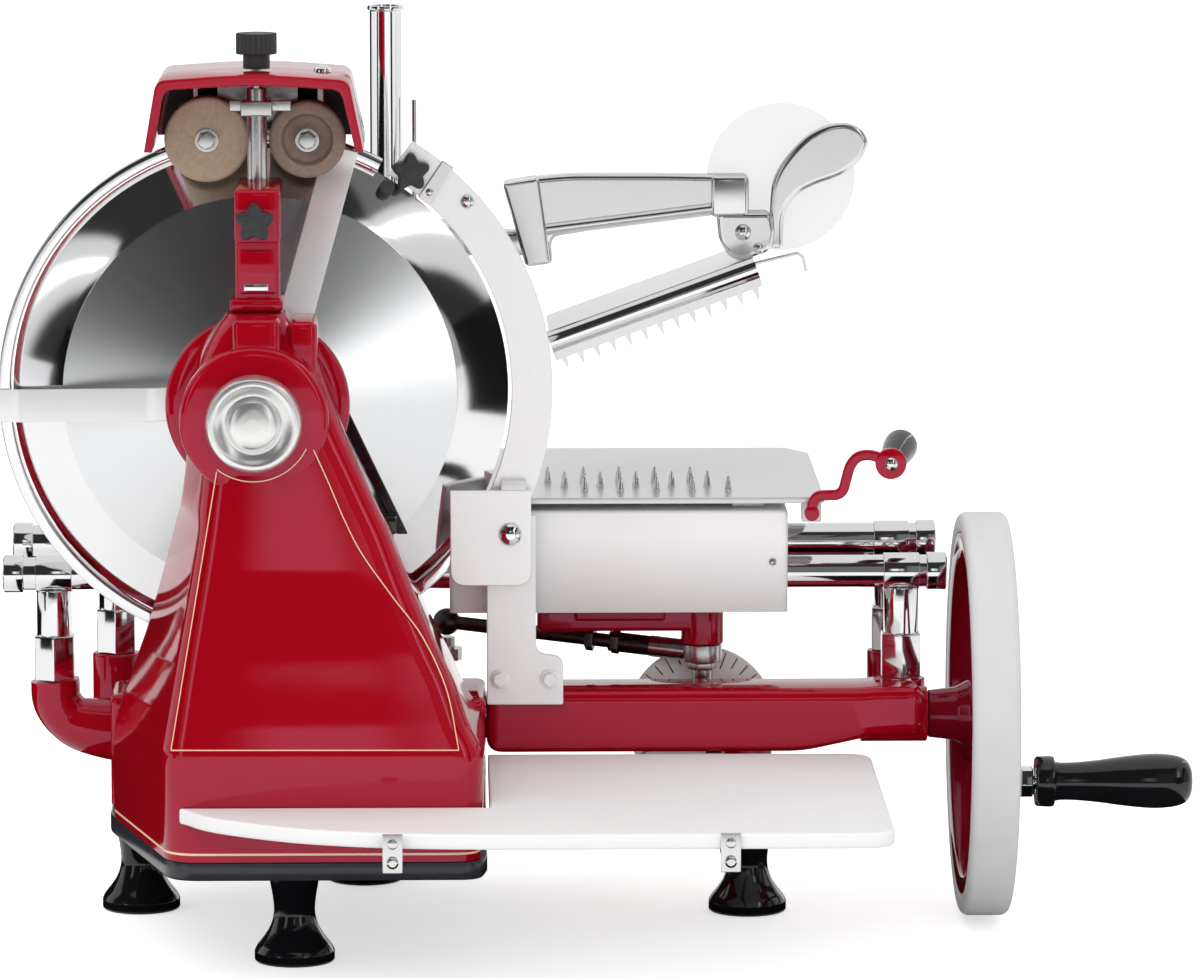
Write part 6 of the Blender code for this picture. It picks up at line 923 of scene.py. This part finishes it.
def make_lever():
    """The bent red lever with its ring, screw and grip."""
    pivot, ring = np.array([335, 254.5]), np.array([383, 285])
    run = [
        (335.6, 260.5), (338.5, 264.8), (345, 265.6), (350.5, 266), (354, 269), (356, 276), (358.5, 284),
        (363, 289), (369.5, 290.2), (376.5, 288.4),
    ]
    line = curve([(x, 3, z) for x, z in (tuple(pivot), *run, tuple(ring))], 60)
    parts = [
        sweep(line, rectangle(5, 6.4, 1.4)[:, ::-1], (0, 1, 0)),
        drum(4.6, -3.1, 3.1, (pivot[0], 3, pivot[1]), "Y", SMALL, 0.8),
        drum(9.5, -3.1, 3.1, (ring[0], 3, ring[1]), "Y", BAR, 1),
        rod(2.5, (pivot[0], 3, pivot[1]), 12, "Y", 0.4, PIN),
    ]
    fit("lever_casting", "lever", ENAMEL, parts, ["release_lever"])
    lean = (0.24, 0.95, 0.19)
    start = np.array([ring[0], 3, ring[1]])
    fit("lever_screw", "lever", CHROME, [domed(ring[0], 0.1, ring[1], 4.2, 2)])
    r = 10.5
    profile = [
        (0, 5), (r * 0.72, 5), (r * 0.74, 8), (r * 0.86, 16), (r * 0.97, 26), (r, 34), (r * 0.86, 38.2),
        (r * 0.55, 39), (0, 39),
    ]
    fit(
        "lever_knob", "lever_handle", BLACK, [turned(profile, start, lean, 64, 1.5)],
        ["lever_grip"],
    )


# Product press
def make_press():
    """Post, carrier, arm, plate with its comb, clear disc and paddle of the product press."""
    r, rim = 10, 1.5
    post = [
        (0, 549.5), (r - rim, 549.5), (r - rim, 554), (r + rim * 0.8, 554), (r + rim, 553),
        (r + rim, 551.2), (r, 551), (r, 269.3), (r * 1.6, 269.3), (r * 1.6, 264.3), (0, 264.3),
    ]
    parts = [
        turned(post, (*PRESS_POST, 0), "Z", ROUND, 0.5),
        rod(1.6, (92.6, 150, 267), 228, "Z", 0.5, PIN),
        box((75, 145, 264.6), (95.8, 155, 269), 1),
    ]
    fit("press_post_bar", "table", CHROME, parts, ["press_post"])
    x, z = 112, 410
    parts = [
        sleeve(10.3, 16.3, 394, 428, (*PRESS_POST, 0), "Z", 72, 1.5),
        box((78, 118.2, 402), (112, 134, 418), 4),
        drum(12, 117.8, 134.4, (x, 0, z), "Y", BAR, 1.2),
        box((70, 124.5, 403), (92.5, 140, 417), 4),
        rod(5, (x, 91.2, z), 33.5, "Y", 0.6, TINY),
    ]
    fit("press_carrier_casting", "press_slider", CAST, parts, ["press_carrier"])
    arm = eased([
        (163.6, 395), (178.6, 397.5), (177.4, 413.7), (200, 417.2), (278.4, 429.3), (300, 426),
        (300, 451.8), (250, 452.8), (188, 453), (166.8, 451), (148, 447.4),
    ], (3, 3, 6, 10, 6, 4, 5, 10, 10, 4, 4), 5)
    block = eased([(161.8, 395.6), (177.4, 397.6), (169.8, 451.3), (147.4, 447.7)], 3, 5)
    clamp = eased(
        [(280, 429), (281.5, 412), (288, 401), (296.3, 399), (313.6, 405.2), (316, 416), (313.6, 429)], 4,
        5,
    )
    rail = stretch(np.array([174, 105, 418.7]), np.array([106, 0, 13.2]), count=8)
    parts = [
        slab(arm, 97.5, 112.5, "Y", 3),
        slab(block, 92.5, 117.5, "Y", 2.8),
        sweep(rail, ring_of(1.0) * (5.2, 10.5), (0, 1, 0)),
        box((276.4, 93.5, 426.2), (300, 116.5, 452), 3),
        box((112, 95.4, 402.2), (172, 114.6, 417.8), 4),
        sleeve(5.3, 12, 93, 117, (x, 0, z), "Y", BAR, 1.5),
        slab(clamp, 93.8, 116.2, "Y", 2.5),
        domed(296.3, 93.5, 417, 5),
        domed(306, 93.5, 407, 3.4),
    ]
    fit("press_arm_casting", "press", CAST, parts, ["press_arm"])
    low, high = np.array([176, 353.5]), np.array([303, 399.5])
    up = np.array([-(high - low)[1], (high - low)[0]]) / np.linalg.norm(high - low)
    sheet = eased([low - up * 1.5, high - up * 1.5, high + up * 1.5, low + up * 1.5], 0.5, 3)
    fit("press_sheet", "press", SATIN, [slab(sheet, 62, 185, "Y", 0.5)], ["press_plate"])
    teeth = 13
    way = (high - low) / teeth
    k = np.arange(teeth)[:, None]
    root = low - up * 12
    tooth = np.array([0.0, 0.3, 0.5, 0.7])
    reach = np.array([0.0, 0.0, -8.5, 0.0])
    edge = root + (k[..., None] + tooth[None, :, None]) * way + reach[None, :, None] * up
    comb = np.vstack([low[None], edge.reshape(-1, 2), (root + way * teeth)[None], high[None]])
    lowest, highest = np.array([low[0], 54.7, low[1]]), np.array([high[0], 54.7, high[1]])
    lip = eased([
        (302, 400.8), (328, 407.2), (330.8, 405), (332.8, 396.6), (334.2, 396.8), (332.2, 406.2),
        (328.4, 408.8), (302, 402.4),
    ], 0.8, 3)
    fit("press_teeth", "press", CAST, [
        slab(comb[::-1], 53.7, 55.7, "Y", 0.3), slab(lip, 53.7, 61, "Y", 0.3),
    ])
    roll = tube(stretch(lowest, highest - lowest, count=20), 7, (0, 1, 0))
    fit("press_comb_bar", "press", CHROME, [roll], ["press_comb"])
    disc = [(0, 120.3), (45.6, 120.3), (46, 119.8), (46, 117.8), (45.6, 117.3), (0, 117.3)]
    fit(
        "hand_guard_disc", "press", CLEAR, [turned(disc, (320.7, 0, 449.3), "Y", FINE)],
        ["hand_guard"],
    )
    paddle = eased([
        (313, 406), (321.1, 406), (321.4, 426), (325.2, 435.2), (332, 441.7), (341.4, 446.3),
        (357.5, 451.6), (369.8, 460.5), (374.8, 472), (370.6, 480.4), (361.1, 484.8), (349.4, 483.8),
        (336.4, 477.2), (325.9, 466.8), (318.6, 456.8), (314.3, 447), (313, 429.2),
    ], 8, 6)
    fit("press_paddle", "press", CAST, [slab(paddle, 97.5, 104.5, "Y", 2.8)], ["press_handle"])


# Tray and dial
def make_tray():
    """The white tray with its curved left end, and the two clips that hold it."""
    curved = curve(
        [(-44.5, -176.5), (-29, -202), (-6.7, -221), (25, -240), (60, -252), (95, -258.5), (140, -262)],
        40,
    )
    rest = eased(
        [(140, -262), (371, -262), (371, -3), (137, -3), (137, -176), (-44.5, -176)],
        (0, 18, 18, 1, 1, 1), 8, closed=False,
    )
    outline = np.vstack([curved[:-1], rest[:-1]])
    fit("tray_sheet", "tray", WHITE, [slab(outline, 98, 107, "Z", 1.8)], ["tray_board"])
    for side, x, back in (("left", 81, -175.3), ("right", 275.5, 12)):
        half = 5.75
        lip = eased([(-264.3, 85), (-262.3, 85), (-262.3, 108), (-264.3, 108)], 0.6, 3)
        parts = [
            slab(lip, x - half, x + half, "X", 0.5),
            box((x - half + GAP, -263, 92.7), (x + half - GAP, back, 97.7), 0.8),
            turned([(0, 0), (3.5, 0), (3.5, -2), (2.4, -3), (0, -3.1)], (x, -264, 91.4), "Y", TINY, 0.4),
            turned([(0, 0), (3, 0), (3, -1.2), (0, -1.6)], (x, -264, 102.2), "Y", TINY, 0.4),
        ]
        if side == "right":
            parts.append(box((x - half + 2 * GAP, 2, 93), (x + half - 2 * GAP, 11.7, 106.7), 0.8))
        fit(f"tray_clip_{side}_strap", "frame", CAST, parts, [f"tray_clip_{side}"])


def make_dial():
    """The dial's disc, and a tick at every ten degrees with each fifth one longer."""
    x, z = DIAL
    face = [(4.3, 89), (46, 89), (46.5, 88.4), (46.5, 84.6), (46, 84), (4.3, 84)]
    fit(
        "dial_disc", "dial", PALE, [turned(face, (x, 0, z), "Y", ROUND, closed=True)],
        ["thickness_dial"],
    )
    ticks = []
    for k in range(31):
        angle = math.radians(-30 + 10 * k)
        inner = 37.5 if k % 5 else 34.5
        way = np.array([math.cos(angle), math.sin(angle)])
        side = np.array([-way[1], way[0]]) * 0.35
        a, b = way * inner + DIAL, way * 45 + DIAL
        ticks.append(slab([a - side, b - side, b + side, a + side], 83.8, 84.1, "Y", 0.05))
    fit("dial_ticks", "dial", BLACK, ticks)


# Flywheel and handle
HANDLE_ANGLE = math.radians(194.0)
HANDLE = WHEEL + 101 * np.array([0.0, math.cos(HANDLE_ANGLE), math.sin(HANDLE_ANGLE)])


def make_flywheel():
    """Rim, hub and five spokes, tyre, and the handle's bolt and turned grip."""
    rim = [(100.2, 428.5), (111.2, 427), (111.2, 456), (100.2, 454.5)]
    hub = [(6.2, 407.5), (14.5, 407.5), (16.5, 425), (21, 433), (21, 445.5), (15, 446), (6.2, 446)]
    parts = [
        turned(rim, WHEEL, "X", FINE, 2, closed=True),
        turned(hub, WHEEL, "X", 72, 1.5, closed=True),
        turned(
            [(0, 434), (9, 434), (10.5, 440), (9, 456), (0, 456)], (0, HANDLE[1], HANDLE[2]), "X", SMALL, 1.2,
        ),
    ]
    reach = np.linspace(15, 103.5, 24)
    width = np.interp(reach, (15, 30, 85, 103.5), (20.5, 17.2, 15, 20))
    oval = ring_of(1.0, 32)
    oval = np.sign(oval) * np.abs(oval) ** 0.6
    for k in range(5):
        angle = HANDLE_ANGLE + math.tau * k / 5
        way = np.array([0, math.cos(angle), math.sin(angle)])
        side = np.array([0, -math.sin(angle), math.cos(angle)])
        middle = WHEEL + (441.5, 0, 0) + reach[:, None] * way
        across = oval[None, :, :1] * width[:, None, None] / 2 * side
        deep = oval[None, :, 1:] * np.array([5, 0, 0])
        parts.append(grid(middle[:, None] + across + deep))
    # The casting takes the darker copy of the red enamel, which is painted shade.
    fit("wheel_casting", "flywheel_set", SHADED_WHEEL_RED, parts, ["flywheel"], crease=40)
    tyre = [(111.5, 427), (121.5, 427), (124, 430), (124, 453), (121.5, 456), (111.5, 456)]
    fit(
        "wheel_tyre", "flywheel_set", TYRE,
        [turned(tyre, WHEEL, "X", FINE + 32, 3, closed=True)], ["flywheel_tyre"],
    )
    x, y, z = HANDLE
    parts = [
        rod(4.8, (440, y, z), 108, "X", 0.5, 40),
        slab(regular(6, 17, (y, z), 0.1, 0.8), 456.3, 464.5, "X", 0.9),
        drum(7.8, 464, 465.6, (0, y, z), "X", SMALL, 0.4),
    ]
    fit("handle_bolt", "flywheel_set", CHROME, parts, ["handle_pin"])
    start, length, widest = 466, 94.7, 16.4
    shares = curve([
        (0.16, 0.69), (0.25, 0.7), (0.4, 0.78), (0.55, 0.9), (0.7, 0.99), (0.8, 1.00), (0.9, 0.93),
        (0.96, 0.78), (0.99, 0.55), (1.00, 0.3),
    ], 40)
    collar = np.array([(0.0, 0.3), (0.0, 0.86), (0.012, 0.92), (0.1, 0.94), (0.118, 0.9), (0.128, 0.72)])
    profile = np.vstack([collar, shares, [(1.0, 0.0)]])
    profile = np.column_stack([profile[:, 1] * widest, start + profile[:, 0] * length])
    profile = np.vstack([[(0.0, start)], profile])
    fit(
        "handle_barrel", "handle", BLACK, [turned(profile, (0, y, z), "X", ROUND)],
        ["handle_grip"], crease=45,
    )


# Stage
def finish_frame_nodes():
    """CAD pieces that stay as they are get the same finishes by their slots."""
    by_slot = {
        "red_enamel": ENAMEL, "black_gloss": BLACK, "chrome": CHROME, "machined_steel": STEEL,
        "satin_steel": SATIN,
        "white_enamel": WHITE, "grit": GRIT, "grey_plastic": GREY, "clear_plastic": CLEAR,
    }
    for entry in frame["record"]["subparts"]:
        node = frame["nodes"][entry["node"]]
        for slot in node.material_slots:
            slot.material = by_slot[entry["material_slot"]]


SEEN_GLOW = 0.58
MIRRORED_GLOW = 0.08
FLOOR_REACH = 14.0


def make_stage():
    """A white floor that the camera sees as white and that keeps the shadow."""
    mesh = bpy.data.meshes.new("floor")
    corners = [(x * FLOOR_REACH, y * FLOOR_REACH, 0) for x, y in ((-1, -1), (1, -1), (1, 1), (-1, 1))]
    mesh.from_pydata(
        corners, [], [(0, 1, 2, 3)],
    )
    floor = bpy.data.objects.new("floor", mesh)
    bpy.context.scene.collection.objects.link(floor)
    white = material("white floor", 0.93, 0.94, (0.6, 0.7), 0.3)
    tree = white.node_tree
    shader = tree.nodes["Principled BSDF"]
    path = add(tree, "LightPath").outputs
    seen = add(tree, "Math", {0: path["Is Glossy Ray"], 1: path["Is Transmission Ray"]}, operation="MAXIMUM")
    faint = add(tree, "Math", {0: seen.outputs[0], 1: MIRRORED_GLOW}, operation="MULTIPLY")
    parts = {0: path["Is Camera Ray"], 1: SEEN_GLOW, 2: faint.outputs[0]}
    feed(shader.inputs["Emission Strength"], add(tree, "Math", parts, operation="MULTIPLY_ADD").outputs[0])
    shader.inputs["Emission Color"].default_value = (1, 1, 1, 1)
    mesh.materials.append(white)


# Level, then X from and to, Z from and to, of each bright patch before the machine
PATCHES = [
    (1.25, -0.065, 0.03, 0.125, 0.36),
    (1.00, 0.045, 0.08, 0.1, 0.36),
    (4.5, 0.495, 0.54, 0.02, 0.7),
    (3.5, -0.705, -0.67, 0.02, 0.45),
    (0.95, 0.44, 0.66, -0.1, 1.1),
    (0.2, 0.12, 0.44, -0.1, 0.62),
    (0.95, -0.76, -0.6, -0.1, 0.5),
    (0.5, 0.8, 1.1, -0.1, 1.1),
]
EVEN_LEVEL = 0.88
DARK_LEVEL = 0.035


def make_light():
    """Soft white tent: diffuse rays meet an even level, and mirrors meet white with dark gaps between."""
    world = bpy.data.worlds.new("tent")
    bpy.context.scene.world = world
    world.use_nodes = True
    tree = world.node_tree
    tree.nodes.clear()
    path = add(tree, "LightPath").outputs
    way = add(tree, "SeparateXYZ", {0: add(tree, "TexCoord").outputs["Generated"]}).outputs

    def combine(operation, first, second):
        return add(tree, "Math", {0: first, 1: second}, operation=operation).outputs[0]

    def above(axis, edge, soft=0.02):
        """0 below the edge and 1 above it, along one axis of the direction."""
        ends = {"Value": way[axis], "From Min": edge - soft, "From Max": edge + soft}
        return add(tree, "MapRange", ends, interpolation_type="SMOOTHSTEP").outputs["Result"]

    def patch(level, left, right, low, high):
        """A bright patch of the tent, by X and Z of the direction."""
        across = combine("SUBTRACT", above("X", left), above("X", right))
        upward = combine("SUBTRACT", above("Z", low), above("Z", high))
        return combine("MULTIPLY", combine("MULTIPLY", across, upward), level)

    level = combine("MAXIMUM", above("Y", 0.08, 0.06), above("Z", 0.88, 0.03))
    for stated in PATCHES:
        level = combine("MAXIMUM", level, patch(*stated))
    level = combine("MAXIMUM", level, DARK_LEVEL)
    white = (1, 1, 1, 1)
    mirrored = add(tree, "Background", {"Strength": level}).outputs[0]
    even = add(tree, "Background", {"Color": white, "Strength": EVEN_LEVEL}).outputs[0]
    seen = add(tree, "Background", {"Color": white}).outputs[0]
    bounced = combine("MAXIMUM", path["Is Glossy Ray"], path["Is Transmission Ray"])
    unseen = add(tree, "MixShader", {0: bounced, 1: even, 2: mirrored}).outputs[0]
    shown = add(tree, "MixShader", {0: path["Is Camera Ray"], 1: unseen, 2: seen}).outputs[0]
    add(tree, "OutputWorld", {0: shown})

    def lamp(name, place_at, target, size, watts):
        data = bpy.data.lights.new(name, "AREA")
        data.shape = "RECTANGLE"
        data.size, data.size_y = size
        data.energy = watts
        light = bpy.data.objects.new(name, data)
        light.location = place_at
        light.rotation_euler = (Vector(target) - Vector(place_at)).to_track_quat("-Z", "Y").to_euler()
        light.visible_glossy = False
        bpy.context.scene.collection.objects.link(light)

    lamp("key", (-1.4, -1.8, 2.6), (0, 0, 0.2), (2.6, 2.6), 22)
    lamp("top", (0.3, 0.2, 2.8), (0, 0, 0), (2.4, 2.4), 10)
    lamp("front", (0.4, -3.4, 1.0), (0, 0, 0.25), (2.4, 1.6), 15)


def make_flag(name, corners):
    """A dark card that only mirrors see."""
    mesh = bpy.data.meshes.new(name)
    mesh.from_pydata((np.array(corners) + ORIGIN).tolist(), [], [(0, 1, 2, 3)])
    card = bpy.data.objects.new(name, mesh)
    bpy.context.scene.collection.objects.link(card)
    mesh.materials.append(material(f"{name} cloth", 0.004, 0.006, (0.9, 1.0), 0.05, Specular_IOR_Level=0.0))
    for ray in ("camera", "diffuse", "shadow", "transmission", "volume_scatter"):
        setattr(card, f"visible_{ray}", False)


def make_camera():
    data = bpy.data.cameras.new("camera")
    data.sensor_width = 36
    data.lens = FOCAL_LENGTH
    data.clip_end = 100
    camera = bpy.data.objects.new("camera", data)
    camera.location = ORIGIN + CAMERA
    camera.rotation_euler = Vector(CAMERA_WAY).to_track_quat("-Z", "Y").to_euler()
    bpy.context.scene.collection.objects.link(camera)
    bpy.context.scene.camera = camera


for make in (
    finish_frame_nodes, make_base, make_plinth_and_feet, make_posts_and_rods, make_front_beam, make_hub,
    make_blade,
    make_guard, make_gauge, make_deflector, make_upper_arm, make_sharpener, make_carriage, make_table,
    make_lever,
    make_press, make_tray, make_dial, make_flywheel, make_stage, make_light,
):
    make()
make_flag("right_flag", [(1.07, -1.19, 0.002), (1.33, -0.9, 0.002), (1.33, -0.9, 0.6), (1.07, -1.19, 0.6)])
make_flag("left_flag", [(-1.36, -0.85, 0.002), (-1.5, -0.55, 0.002), (-1.5, -0.55, 0.6), (-1.36, -0.85, 0.6)])
make_flag("rear_flag", [(-1.35, 1.05, 0.002), (-0.6, 1.75, 0.002), (-0.6, 1.75, 1.2), (-1.35, 1.05, 1.2)])
make_flag(
    "rear_ground_flag",
    [(-1.5, 0.02, 0.0015), (-0.11, 0.19, 0.0015), (-0.42, 1.88, 0.0015), (-1.6, 1.1, 0.0015)],
)
make_flag(
    "ground_flag",
    [(-0.15, -0.42, 0.0015), (0.62, -0.42, 0.0015), (0.62, 0.3, 0.0015), (-0.15, 0.3, 0.0015)],
)
make_camera()
bpy.context.scene.view_settings.view_transform = "Standard"
